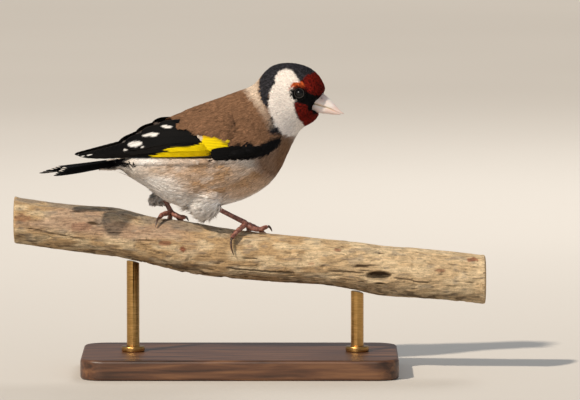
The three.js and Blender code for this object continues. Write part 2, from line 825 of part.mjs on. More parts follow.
// Bill half: rings by top, bottom and half width in the head's frame
function billSolid(stations, flat, grow) {
  const rings = stations.map(({ top, bottom, half }) => {
    const centreU = mix(bottom[0], top[0], flat);
    const centreZ = mix(bottom[1], top[1], flat);
    const ring = [];
    for (let j = 0; j < billRingPoints; j += 1) {
      const angle = (j / billRingPoints) * Math.PI * 2;
      const rise = Math.sin(angle);
      const target = rise >= 0 ? top : bottom;
      const length = Math.hypot(target[0] - centreU, target[1] - centreZ);
      const height = Math.abs(rise) * (1 + grow / Math.max(length, 0.2));
      ring.push(fromHead(
        mix(centreU, target[0], height),
        Math.cos(angle) * (half + grow),
        mix(centreZ, target[1], height),
      ));
    }
    return ring;
  });
  return loft(rings);
}

function ball(centre, radius, detail) {
  const geometry = new THREE.SphereGeometry(radius, detail * 2, detail);
  geometry.translate(centre.x, centre.y, centre.z);
  return toSolid(geometry);
}

function lidRing(side) {
  const geometry = new THREE.TorusGeometry(lidRingRadius, lidTubeRadius, 6, 16);
  geometry.rotateX(Math.PI / 2);
  geometry.rotateZ(headYaw + lidTurn * side);
  const place = fromHead(eyeCentre.u, -lidOut * side, eyeCentre.z);
  geometry.translate(place.x, place.y, place.z);
  return toSolid(geometry);
}

function vectors(list) {
  return list.map(([x, y, z]) => new THREE.Vector3(x, y, z));
}

function toePoints(leg, toe) {
  const start = new THREE.Vector3(...leg.ankle);
  const points = toe.x.map((x, index) => onPerch(x, toe.angle[index], toe.lift[index]));
  return [start, ...points];
}

function clawPoints(toe) {
  const last = toe.x.length - 1;
  const end = onPerch(toe.x[last], toe.angle[last], toe.lift[last]);
  const before = onPerch(toe.x[last - 1], toe.angle[last - 1], toe.lift[last - 1]);
  const forward = end.clone().sub(before).normalize();
  const start = end.clone().addScaledVector(forward, seam);
  const lifts = [toe.lift[last] + clawRootLift, toe.lift[last] * clawMiddleShare, clawTipLift];
  const rest = toe.clawX.map((x, index) => onPerch(x, toe.clawAngle[index], lifts[index]));
  return [start, ...rest];
}

// Stand
function roundedPlate() {
  const shape = new THREE.Shape();
  const x = baseLength / 2 - baseBevel;
  const y = baseWidth / 2 - baseBevel;
  const corner = baseCorner;
  shape.moveTo(-x + corner, -y);
  shape.lineTo(x - corner, -y);
  shape.absarc(x - corner, -y + corner, corner, -Math.PI / 2, 0, false);
  shape.lineTo(x, y - corner);
  shape.absarc(x - corner, y - corner, corner, 0, Math.PI / 2, false);
  shape.lineTo(-x + corner, y);
  shape.absarc(-x + corner, y - corner, corner, Math.PI / 2, Math.PI, false);
  shape.lineTo(-x, -y + corner);
  shape.absarc(-x + corner, -y + corner, corner, Math.PI, Math.PI * 1.5, false);
  const geometry = new THREE.ExtrudeGeometry(shape, {
    depth: baseHeight - 2 * baseBevel,
    bevelEnabled: true,
    bevelThickness: baseBevel,
    bevelSize: baseBevel,
    bevelSegments: 1,
    curveSegments: 5,
  });
  geometry.translate(0, 0, baseBevel);
  return toSolid(geometry);
}

function rod(x, radius, low, high) {
  const geometry = new THREE.CylinderGeometry(radius, radius, high - low, rodSides);
  geometry.rotateX(Math.PI / 2);
  geometry.translate(x, 0, (low + high) / 2);
  return toSolid(geometry);
}

// Assembly
function addGroup(parent, name) {
  const group = new THREE.Group();
  group.name = name;
  parent.add(group);
  return group;
}

function addNode(parent, name, solid, colour, roughness, metalness) {
  const material = new THREE.MeshStandardMaterial({ color: colour, roughness, metalness });
  material.name = `${name}_surface`;
  const mesh = new THREE.Mesh(toGeometry(solid), material);
  mesh.name = name;
  parent.add(mesh);
}

const model = new THREE.Group();
model.name = 'goldfinch_on_perch';
const bird = addGroup(model, 'goldfinch');
const headGroup = addGroup(bird, 'head_and_bill');
const display = addGroup(model, 'perch_and_stand');

const wholeBody = bodySolid(0);
const grownBody = bodySolid(seam);
const behindTail = behindCut(tailCut, 0);
const behindTailSeam = behindCut(tailCut, -seam);
const behindNeck = behindCut(neckCut, 0);
const behindNeckSeam = behindCut(neckCut, -seam);
const behindHead = behindCut(headCut, 0);
const behindHeadSeam = behindCut(headCut, -seam);
const openings = wingPocket(1).add(wingPocket(-1));
const pockets = openings.add(wingArm(1, seam)).add(wingArm(-1, seam));

let tail = wholeBody.intersect(behindTail).subtract(pockets);
for (let k = 0; k < tailFeatherCount; k += 1) {
  tail = tail.add(tailFeather(-1, k)).add(tailFeather(1, k));
}

const torso = wholeBody.subtract(behindTailSeam).intersect(behindNeck).subtract(pockets);
const neck = wholeBody.subtract(behindNeckSeam).intersect(behindHead).subtract(pockets);
let head = wholeBody.subtract(behindHeadSeam);

const sides = [
  { name: 'right', side: 1 },
  { name: 'left', side: -1 },
];
sides.forEach(({ side }) => {
  const eyeball = fromHead(eyeCentre.u, -eyeCentre.v * side, eyeCentre.z);
  head = head.add(lidRing(side));
  head = head.subtract(ball(eyeball, eyeRadius + seam, 7));
});
head = head.subtract(billSolid(upperBillStations, upperBillFlat, seam));
head = head.subtract(billSolid(lowerBillStations, lowerBillFlat, seam));

let upperBill = billSolid(upperBillStations, upperBillFlat, 0);
const lowerBill = billSolid(lowerBillStations, lowerBillFlat, 0);
sides.forEach(({ side }) => {
  const opening = fromHead(nostril.u, -nostril.v * side, nostril.z);
  upperBill = upperBill.subtract(ball(opening, nostril.radius, 5));
});
upperBill = upperBill.subtract(billSolid(lowerBillStations, lowerBillFlat, seam));

addNode(bird, 'torso', torso, colours.breast, 0.9, 0);
addNode(bird, 'neck', neck, colours.mantle, 0.9, 0);
addNode(bird, 'tail', tail, colours.tail, 0.8, 0);
addNode(headGroup, 'head', head, colours.head, 0.9, 0);
addNode(headGroup, 'bill_upper', upperBill, colours.bill, 0.5, 0);
addNode(headGroup, 'bill_lower', lowerBill, colours.bill, 0.5, 0);

sides.forEach(({ name, side }) => {
  addNode(bird, `wing_${name}`, wingSolid(side), colours.wing, 0.8, 0);
  const eyeball = fromHead(eyeCentre.u, -eyeCentre.v * side, eyeCentre.z);
  addNode(headGroup, `eye_${name}`, ball(eyeball, eyeRadius, 8), colours.eye, 0.1, 0);
});

const grownPerch = perchSolid(seam);
sides.forEach(({ name }) => {
  const leg = legs[name];
  const legGroup = addGroup(bird, `leg_${name}`);
  const thighPoints = vectors(leg.thigh);
  const tarsusPoints = vectors(leg.tarsus);
  const tarsus = limb(tarsusPoints, tarsusRadii, tarsusSides, 0);
  const tarsusRoom = limb(tarsusPoints, tarsusRadii, tarsusSides, seam);
  const thigh = limb(thighPoints, leg.thighRadii, thighSides, 0).subtract(grownBody);
  addNode(legGroup, `thigh_${name}`, thigh.subtract(tarsusRoom), colours.thigh, 0.9, 0);
  addNode(legGroup, `tarsus_${name}`, tarsus.subtract(grownBody), colours.leg, 0.7, 0);
  let taken = tarsusRoom;
  leg.toes.forEach((toe) => {
    const points = toePoints(leg, toe);
    const whole = limb(points, toeRadii, toeSides, 0);
    const solid = whole.subtract(taken).subtract(grownPerch);
    taken = taken.add(limb(points, toeRadii, toeSides, seam));
    addNode(legGroup, `${toe.name}_${name}`, solid, colours.leg, 0.7, 0);
    const toeRoom = limb(points, toeRadii, toeSides, seam * 0.9);
    const claw = limb(clawPoints(toe), clawRadii, clawSides, 0).subtract(grownPerch);
    const clawName = toe.name.replace('toe', 'claw');
    addNode(legGroup, `${clawName}_${name}`, claw.subtract(toeRoom), colours.claw, 0.4, 0);
  });
});

addNode(display, 'perch', perchSolid(0), colours.branch, 0.9, 0);

const socketFloorZ = baseHeight - rodSocketDepth;
let base = roundedPlate();
Object.entries(rodPlaces).forEach(([name, x]) => {
  base = base.subtract(rod(x, rodRadius + seam, socketFloorZ - seam, baseHeight + rodRadius));
  const solid = rod(x, rodRadius, socketFloorZ, perchRead(x, 'z')).subtract(grownPerch);
  addNode(display, `stand_rod_${name}`, solid, colours.rod, 0.3, 1);
});
addNode(display, 'stand_base', base, colours.base, 0.6, 0);

export default model;
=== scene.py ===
import math

import bpy
import numpy as np
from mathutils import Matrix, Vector
from mathutils.bvhtree import BVHTree


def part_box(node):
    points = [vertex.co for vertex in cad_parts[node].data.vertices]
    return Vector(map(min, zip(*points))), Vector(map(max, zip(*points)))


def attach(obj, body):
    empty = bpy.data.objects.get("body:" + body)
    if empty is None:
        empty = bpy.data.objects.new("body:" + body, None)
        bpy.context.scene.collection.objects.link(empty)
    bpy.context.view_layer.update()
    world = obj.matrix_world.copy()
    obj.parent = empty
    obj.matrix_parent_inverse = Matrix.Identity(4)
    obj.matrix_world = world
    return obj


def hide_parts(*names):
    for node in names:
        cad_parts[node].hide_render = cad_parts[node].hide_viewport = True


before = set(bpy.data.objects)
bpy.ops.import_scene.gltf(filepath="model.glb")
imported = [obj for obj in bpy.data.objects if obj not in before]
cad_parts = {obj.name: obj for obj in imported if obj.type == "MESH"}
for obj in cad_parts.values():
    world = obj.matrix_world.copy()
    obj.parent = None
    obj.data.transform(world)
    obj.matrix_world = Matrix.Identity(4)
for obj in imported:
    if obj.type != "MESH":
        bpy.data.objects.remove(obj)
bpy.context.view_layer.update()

# European goldfinch on a cut length of branch, life size. Array work is in millimetres.
mm = 0.001
dice = np.random.default_rng(11)

# The bird's own frame: u forward, v to its left, z up. The head turns back towards the viewer.
bird = {"yaw": math.radians(14), "headYaw": math.radians(-8), "originX": -13.0, "neckU": 26.3}
neckPlace = (bird["originX"] + bird["neckU"] * math.cos(bird["yaw"]),
             bird["neckU"] * math.sin(bird["yaw"]))


def toBody(points):
    x, y = points[:, 0] - bird["originX"], points[:, 1]
    c, s = math.cos(bird["yaw"]), math.sin(bird["yaw"])
    return x * c + y * s, y * c - x * s, points[:, 2]


def toHead(points):
    x, y = points[:, 0] - neckPlace[0], points[:, 1] - neckPlace[1]
    c, s = math.cos(bird["headYaw"]), math.sin(bird["headYaw"])
    return bird["neckU"] + x * c + y * s, y * c - x * s, points[:, 2]


def fromBody(u, v, z):
    c, s = math.cos(bird["yaw"]), math.sin(bird["yaw"])
    return np.stack(np.broadcast_arrays(bird["originX"] + u * c - v * s, u * s + v * c, z), axis=-1)


def fromHead(u, v, z):
    c, s = math.cos(bird["headYaw"]), math.sin(bird["headYaw"])
    ahead = u - bird["neckU"]
    x, y = neckPlace[0] + ahead * c - v * s, neckPlace[1] + ahead * s + v * c
    return np.stack(np.broadcast_arrays(x, y, z), axis=-1)


# A direction in the bird's own frame
def bodyWay(u, v, z):
    return fromBody(u, v, z) - fromBody(0.0, 0.0, 0.0)


def ease(t):
    t = np.clip(t, 0, 1)
    return t * t * (3 - 2 * t)


def between(values, low, high):
    return (values > low) & (values < high)


def unit(vectors):
    return vectors / np.maximum(np.linalg.norm(vectors, axis=-1, keepdims=True), 1e-9)


# Large odd numbers that scatter the lattice's values
hashing = {"axes": (73856093, 19349663, 83492791), "seed": 2654435, "times": 1103515245, "plus": 12345,
           "most": 0x7FFFFFFF}


# Smooth lattice noise from 0 to 1; size is the distance between its lumps, one number or one for each axis
def lumpNoise(points, size, seed=0):
    place = points / np.asarray(size, float) + seed * 17.3
    low = np.floor(place).astype(np.int64)
    part = ease(place - low)
    total = 0
    for corner in np.ndindex(2, 2, 2):
        cell = low + corner
        across, deep, up = (cell * hashing["axes"]).T
        mixed = across ^ deep ^ up ^ (seed * hashing["seed"])
        value = ((mixed * hashing["times"] + hashing["plus"]) & hashing["most"]) / hashing["most"]
        weight = np.prod(np.where(corner, part, 1 - part), axis=1)
        total = total + value * weight
    return total


# How far inside an outline each point is, in mm, negative outside
def insideBy(x, y, outline):
    corners = np.array(outline, float)
    nearest = np.full(x.shape, 1e9)
    crossings = np.zeros(x.shape, bool)
    for (ax, ay), (bx, by) in zip(corners, np.roll(corners, -1, axis=0)):
        dx, dy = bx - ax, by - ay
        share = np.clip(((x - ax) * dx + (y - ay) * dy) / (dx * dx + dy * dy), 0, 1)
        nearest = np.minimum(nearest, np.hypot(x - ax - share * dx, y - ay - share * dy))
        level = (ay > y) != (by > y)
        reach = ax + (y - ay) / (by - ay if by != ay else 1e-9) * dx
        crossings ^= level & (x < reach)
    return np.where(crossings, nearest, -nearest)


# Small helpers for objects, modifiers and materials
def linear(code):
    parts = [int(code[i:i + 2], 16) / 255 for i in (1, 3, 5)]
    return [p / 12.92 if p <= 0.04045 else ((p + 0.055) / 1.055) ** 2.4 for p in parts] + [1.0]


def rgb(code):
    return np.array(linear(code)[:3])


# Lays a colour over the points' own colours by weight
def blend(colours, colour, weight):
    share = np.clip(weight, 0, 1)[:, None]
    colours[:] = colours * (1 - share) + colour * share


def addNode(material, kind, settings=None, inputs=None):
    node = material.node_tree.nodes.new(kind)
    for name, value in (settings or {}).items():
        if name == "stops":  # a ramp's colours by place
            while len(node.color_ramp.elements) < len(value):
                node.color_ramp.elements.new(0.5)
            for element, (place, colour) in zip(node.color_ramp.elements, value):
                element.position = place
                element.color = linear(colour)
        else:
            setattr(node, name, value)
    for name, value in (inputs or {}).items():
        if isinstance(value, bpy.types.NodeSocket):
            material.node_tree.links.new(value, node.inputs[name])
        else:
            node.inputs[name].default_value = value
    return node


def newMaterial(name, shaderValues):
    material = bpy.data.materials.new(name)
    material.use_nodes = True
    for socket, value in shaderValues.items():
        material.node_tree.nodes["Principled BSDF"].inputs[socket].default_value = value
    return material


def wire(material, socket, output):
    material.node_tree.links.new(output, material.node_tree.nodes["Principled BSDF"].inputs[socket])


# Fine noise through the material, drawn out by a scale for each axis where the grain runs one way
def grain(material, scale, stretch=None, **more):
    place = addNode(material, "ShaderNodeTexCoord").outputs["Object"]
    if stretch:
        stretched = addNode(material, "ShaderNodeMapping", {}, {"Vector": place, "Scale": stretch})
        place = stretched.outputs["Vector"]
    noise = addNode(material, "ShaderNodeTexNoise", {}, {"Vector": place, "Scale": scale, **more})
    return noise.outputs["Fac"]


def ramp(material, value, *stops):
    return addNode(material, "ShaderNodeValToRGB", {"stops": stops}, {"Fac": value}).outputs["Color"]


def spread(material, value, low, high, fromLow=0.0, fromHigh=1.0):
    limits = {"From Min": fromLow, "From Max": fromHigh, "To Min": low, "To Max": high}
    return addNode(material, "ShaderNodeMapRange", {}, {"Value": value, **limits}).outputs["Result"]


def product(material, first, second):
    times = addNode(material, "ShaderNodeMath", {"operation": "MULTIPLY"}, {0: first, 1: second})
    return times.outputs["Value"]


def pointInk(material):
    return addNode(material, "ShaderNodeVertexColor", {"layer_name": "plumage"}).outputs["Color"]


# The points' colours, lighter and darker by a share
def shadedInk(material, share):
    scaled = {0: pointInk(material), "Scale": share}
    return addNode(material, "ShaderNodeVectorMath", {"operation": "SCALE"}, scaled).outputs["Vector"]


def relief(material, height, strength, distance):
    values = {"Height": height, "Strength": strength, "Distance": distance}
    wire(material, "Normal", addNode(material, "ShaderNodeBump", {}, values).outputs["Normal"])


def pickOnly(obj):
    bpy.ops.object.select_all(action="DESELECT")
    obj.select_set(True)
    bpy.context.view_layer.objects.active = obj


def applyModifier(obj, kind, **settings):
    pickOnly(obj)
    modifier = obj.modifiers.new(kind.lower(), kind)
    for name, value in settings.items():
        setattr(modifier, name, value)
    bpy.ops.object.modifier_apply(modifier=modifier.name)


# Grid of quads over rows of points, and its triangles
def gridQuads(rows, columns):
    a = (np.arange(rows - 1)[:, None] * columns + np.arange(columns - 1)).ravel()
    return np.stack([a, a + columns, a + columns + 1, a + 1], axis=1)


def splitQuads(quads):
    return np.concatenate([quads[:, [0, 1, 2]], quads[:, [0, 2, 3]]])


# Triangles between rings of points that close on themselves
def tubeTriangles(rings, count):
    i, j = np.meshgrid(np.arange(rings - 1), np.arange(count), indexing="ij")
    a, b = (i * count + j).ravel(), (i * count + (j + 1) % count).ravel()
    return np.concatenate([np.stack([a, b, b + count], axis=1), np.stack([a, b + count, a + count], axis=1)])


# One object from merged copies of CAD nodes
def copyNodes(title, names):
    copies = []
    for name in names:
        copy = bpy.data.objects.new(name + "_copy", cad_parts[name].data.copy())
        copy.data.materials.clear()
        bpy.context.scene.collection.objects.link(copy)
        copies.append(copy)
    pickOnly(copies[0])
    for copy in copies:
        copy.select_set(True)
    if len(copies) > 1:
        bpy.ops.object.join()
    obj = bpy.context.view_layer.objects.active
    obj.name = title
    bpy.ops.object.mode_set(mode="EDIT")
    bpy.ops.mesh.select_all(action="SELECT")
    bpy.ops.mesh.remove_doubles(threshold=1e-6)
    bpy.ops.mesh.normals_make_consistent(inside=False)
    bpy.ops.object.mode_set(mode="OBJECT")
    return obj


def pointsOf(obj):
    flat = np.empty(len(obj.data.vertices) * 3)
    obj.data.vertices.foreach_get("co", flat)
    return flat.reshape(-1, 3) / mm


def setPoints(obj, points):
    obj.data.vertices.foreach_set("co", (points * mm).ravel())
    obj.data.update()


def trianglesOf(obj):
    obj.data.calc_loop_triangles()
    flat = np.empty(len(obj.data.loop_triangles) * 3, np.int32)
    obj.data.loop_triangles.foreach_get("vertices", flat)
    return flat.reshape(-1, 3)


def pointNormals(points, triangles):
    a, b, c = (points[triangles[:, i]] for i in range(3))
    face = np.cross(b - a, c - a)
    total = np.zeros_like(points)
    for i in range(3):
        np.add.at(total, triangles[:, i], face)
    return unit(total)


def paintPoints(obj, colours):
    attribute = obj.data.color_attributes.new("plumage", "FLOAT_COLOR", "POINT")
    full = np.concatenate([colours, np.ones((len(colours), 1))], axis=1)
    attribute.data.foreach_set("color", full.ravel())


def meshObject(title, points, triangles, colours=None, uvName=None, uvs=None):
    mesh = bpy.data.meshes.new(title)
    mesh.vertices.add(len(points))
    mesh.vertices.foreach_set("co", (points * mm).ravel())
    mesh.loops.add(triangles.size)
    mesh.loops.foreach_set("vertex_index", triangles.ravel().astype(np.int32))
    mesh.polygons.add(len(triangles))
    mesh.polygons.foreach_set("loop_start", np.arange(0, triangles.size, 3, dtype=np.int32))
    mesh.update(calc_edges=True)
    mesh.polygons.foreach_set("use_smooth", np.ones(len(triangles), bool))
    obj = bpy.data.objects.new(title, mesh)
    bpy.context.scene.collection.objects.link(obj)
    if uvName:
        layer = mesh.uv_layers.new(name=uvName)
        layer.data.foreach_set("uv", uvs[triangles.ravel()].ravel())
    if colours is not None:
        paintPoints(obj, colours)
    return obj


def shadeSmooth(obj, degrees=None):
    pickOnly(obj)
    if degrees:
        bpy.ops.object.shade_smooth_by_angle(angle=math.radians(degrees))
    else:
        bpy.ops.object.shade_smooth()


def finishPiece(obj, material, slot, *replaced):
    obj.data.materials.clear()
    obj.data.materials.append(material)
    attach(obj, "root")
    if replaced:
        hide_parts(*replaced)
    print("made", obj.name, len(obj.data.polygons), "faces")


# Camera at the photo's angle; 0.392 mm of bird to a pixel of 580
view = {"aim": (0.0196, 0.0, 0.06768), "distance": 2.5, "elevation": 5, "frameWidth": 0.22736}
camera = bpy.data.objects.new("camera", bpy.data.cameras.new("camera"))
camera.data.lens = camera.data.sensor_width * view["distance"] / view["frameWidth"]
tip = math.radians(view["elevation"])
camera.location = Vector(view["aim"]) + Vector((0, -math.cos(tip), math.sin(tip))) * view["distance"]
camera.rotation_euler = (math.pi / 2 - tip, 0, 0)
camera.data.clip_end = 50
bpy.context.scene.collection.objects.link(camera)
bpy.context.scene.camera = camera
bpy.context.scene.view_settings.view_transform = "Standard"

# Studio: pale floor, a soft sun from the viewer's upper left, a weak fill, a rim and a soft box for the eye
studio = {
    "floorSize": 16, "floorBack": 4, "floorColours": ("#c6c1ba", "#cbc6bf"),
    "skyColour": "#dfe6ee", "skyStrength": 0.40, "aim": (0, 0, 0.09),
    "sun": {"from": (-0.66, -0.66, 0.80), "strength": 3.7, "angle": 2.5, "colour": "#fff1de"},
    "lamps": [  # name, place, size, power and colour
        ("fill", (0.9, -0.9, 0.4), 0.9, 1.4, "#eef2ff"),
        ("rim", (0.3, 0.9, 0.8), 0.5, 5.0, "#ffffff"),
        ("softBox", (-0.30, -0.9, 0.52), 0.34, 7.0, "#fff6ea"),
    ],
}
bpy.ops.mesh.primitive_grid_add(x_subdivisions=4, y_subdivisions=4, size=studio["floorSize"],
                                location=(0, studio["floorBack"], 0))
floor = bpy.context.object
floor.name = "studio_floor"
# Matt painted board: the faint mottle keeps it from reading as an empty page
board = newMaterial("matt painted board", {"Roughness": 0.9, "Specular IOR Level": 0.2})
wire(board, "Base Color", ramp(board, grain(board, 1.5), *zip((0.3, 0.7), studio["floorColours"])))
floor.data.materials.append(board)
sunLamp = bpy.data.lights.new("key", "SUN")
sunLamp.energy = studio["sun"]["strength"]
sunLamp.angle = math.radians(studio["sun"]["angle"])
sunLamp.color = linear(studio["sun"]["colour"])[:3]
sunHolder = bpy.data.objects.new("key", sunLamp)
sunHolder.location = studio["sun"]["from"]
sunHolder.rotation_euler = Vector(studio["sun"]["from"]).to_track_quat("Z", "Y").to_euler()
bpy.context.scene.collection.objects.link(sunHolder)
for title, place, size, power, colour in studio["lamps"]:
    lamp = bpy.data.lights.new(title, "AREA")
    lamp.shape = "DISK"
    lamp.size = size
    lamp.energy = power
    lamp.color = linear(colour)[:3]
    holder = bpy.data.objects.new(title, lamp)
    holder.location = place
    # Only the soft box is mirrored in glossy finishes such as the eye, and it adds no diffuse light
    holder.visible_glossy = title == "softBox"
    holder.visible_diffuse = title != "softBox"
    holder.rotation_euler = (Vector(studio["aim"]) - Vector(place)).to_track_quat("-Z", "Y").to_euler()
    bpy.context.scene.collection.objects.link(holder)
world = bpy.data.worlds.new("studio")
world.use_nodes = True
world.node_tree.nodes["Background"].inputs["Color"].default_value = linear(studio["skyColour"])
world.node_tree.nodes["Background"].inputs["Strength"].default_value = studio["skyStrength"]
bpy.context.scene.world = world
print("stage ready")

# Markings: outlines in mm, u and z, on the head in the head's frame and on the wing in the body's
marks = {
    "cap": [(21.0, 121.0), (23.9, 118.2), (22.2, 114.5), (22.5, 110.1), (23.3, 107.7), (24.9, 105.5),
            (26.0, 103.7), (26.5, 106.0), (26.7, 110.1), (27.5, 112.4), (28.6, 113.5), (28.4, 115.4),
            (29.7, 117.9), (32.6, 119.1), (35.1, 118.5), (37.1, 116.3), (38.9, 113.9), (40.6, 115.7),
            (42.2, 116.7), (43.6, 116.9), (45.0, 119.0), (43.0, 125.0), (23.0, 125.0)],
    "cheek": [(29.7, 117.9), (32.6, 119.1), (35.1, 118.5), (37.1, 116.3), (38.9, 113.9), (37.5, 111.0),
              (36.4, 108.3), (37.2, 107.1), (36.2, 106.2), (36.7, 102.9), (37.7, 99.8), (39.0, 98.5),
              (39.6, 95.6), (36.4, 93.2), (33.2, 92.9), (30.7, 95.2), (28.9, 98.2), (27.7, 101.3),
              (26.4, 104.3), (26.7, 110.1), (27.5, 112.4), (28.6, 113.5), (28.4, 115.4)],
    "nape": [(23.9, 118.2), (22.2, 114.5), (22.5, 110.1), (23.3, 107.7), (24.9, 105.5), (26.4, 103.0),
             (29.0, 97.5), (27.4, 96.0), (24.2, 101.5), (20.8, 105.9), (17.4, 108.8), (14.5, 111.6),
             (19.0, 117.5), (21.8, 121.0)],
    "forehead": [(38.5, 114.0), (40.4, 116.1), (42.2, 117.2), (43.8, 117.6), (45.6, 119.6), (51.0, 114.0),
                 (49.6, 109.8), (46.7, 109.7), (44.7, 108.9), (42.0, 109.8), (40.2, 111.2), (38.6, 112.2)],
    "brow": [(33.9, 110.7), (36.0, 114.0), (39.0, 114.1), (40.4, 113.0), (39.6, 111.9), (37.9, 112.6),
             (35.5, 111.4)],
    "lores": [(35.0, 110.6), (37.5, 112.7), (40.2, 112.2), (42.0, 110.3), (44.7, 109.3), (48.0, 110.2),
              (47.5, 103.4), (43.4, 101.6), (41.4, 103.2), (41.2, 105.2), (39.1, 106.1), (36.9, 106.9),
              (35.4, 108.6)],
    "tailSide": [(-30.5, 82.8), (-34.0, 84.0), (-40.0, 84.6), (-47.0, 84.6), (-47.0, 80.0), (-40.0, 80.4),
                 (-33.0, 81.2)],
    "bill": [(46.3, 109.8), (45.8, 108.6), (44.7, 107.4), (43.4, 105.9), (42.5, 104.5), (42.2, 102.9),
             (43.2, 102.4), (45.8, 101.5), (60.0, 100.5), (60.0, 110.5), (47.0, 110.5)],
    "throat": [(36.2, 106.2), (39.1, 106.2), (41.6, 105.2), (44.0, 103.4), (47.0, 103.0), (47.0, 98.0),
               (43.0, 94.6), (39.6, 95.2), (39.0, 98.5), (37.7, 99.8), (36.7, 102.9)],
    "yellow": [(-23.8, 86.4), (-20.5, 88.1), (-17.3, 90.1), (-9.7, 90.5), (-7.5, 91.3), (-6.3, 92.4),
               (-6.2, 95.6), (2.1, 94.6), (5.0, 93.0), (5.1, 89.2), (0.6, 89.3), (-2.2, 88.9), (-2.0, 85.2),
               (-9.3, 85.3), (-22.8, 85.8)],
    "wedge": [(-10.9, 97.9), (-9.9, 95.1), (-8.3, 92.2), (-6.5, 91.7), (-5.5, 93.0), (-5.6, 95.0),
              (-7.5, 97.0), (-9.4, 98.5)],
    "scapular": [(-13.6, 101.5), (-13.0, 99.8), (-12.3, 98.6), (-9.4, 97.1), (-7.5, 95.6), (-6.0, 94.3),
                 (-3.0, 94.2), (-0.4, 93.8), (2.1, 93.2), (4.6, 91.8), (6.2, 90.3), (7.6, 91.2),
                 (11.3, 92.0), (15.8, 90.0), (21.4, 92.0), (26.0, 93.0), (28.0, 101.0), (10.0, 112.0)],
    "shoulder": [(-3.0, 89.6), (4.8, 90.0), (6.2, 90.3), (7.6, 91.2), (11.3, 92.0), (15.8, 90.0),
                 (21.4, 92.0), (24.9, 93.0), (25.6, 96.0), (26.3, 96.0), (26.6, 92.0), (26.2, 89.8),
                 (20.4, 85.6), (14.4, 84.8), (-1.6, 84.6)],
}

eyes = {"u": 38.0, "v": 6.1, "z": 109.9, "radius": 3.1, "opening": 1.75}

# Feather colours: at the middle and at the tip, and how much single feathers differ
inks = {
    "mantle": ("#654733", "#836249", 0.13), "rump": ("#94785f", "#bda993", 0.1),
    "buff": ("#a07c5b", "#b99775", 0.08), "belly": ("#e6dfd8", "#f1ece7", 0.04),
    # The breast's brown is partly its own colour, partly painted shade; it also paints the shaded front of
    # the breast
    "breast": ("#5f4430", "#79593f", 0.11), "grey": ("#aea59b", "#cac2b9", 0.08),
    "black": ("#08080a", "#0d0c0e", 0.25), "cap": ("#08080a", "#302f34", 0.55),
    "cheek": ("#e6dbd2", "#ece3db", 0.03), "nape": ("#c0ab95", "#cfbba7", 0.08),
    # The brow's orange is the red with a painted sheen of the light on it
    "crimson": ("#240504", "#74170c", 0.5), "brow": ("#953612", "#c45c2c", 0.3),
    "yellow": ("#f5d806", "#f8e114", 0.05), "amber": ("#b9781c", "#cf9222", 0.14),
    "undertail": ("#cfc5ba", "#dfd7ce", 0.06),
    "nasal": ("#190806", "#48170f", 0.3),
}


def inkRow(name):
    middle, edge, varies = inks[name]
    return np.array(linear(middle)[:3] + linear(edge)[:3] + [varies])


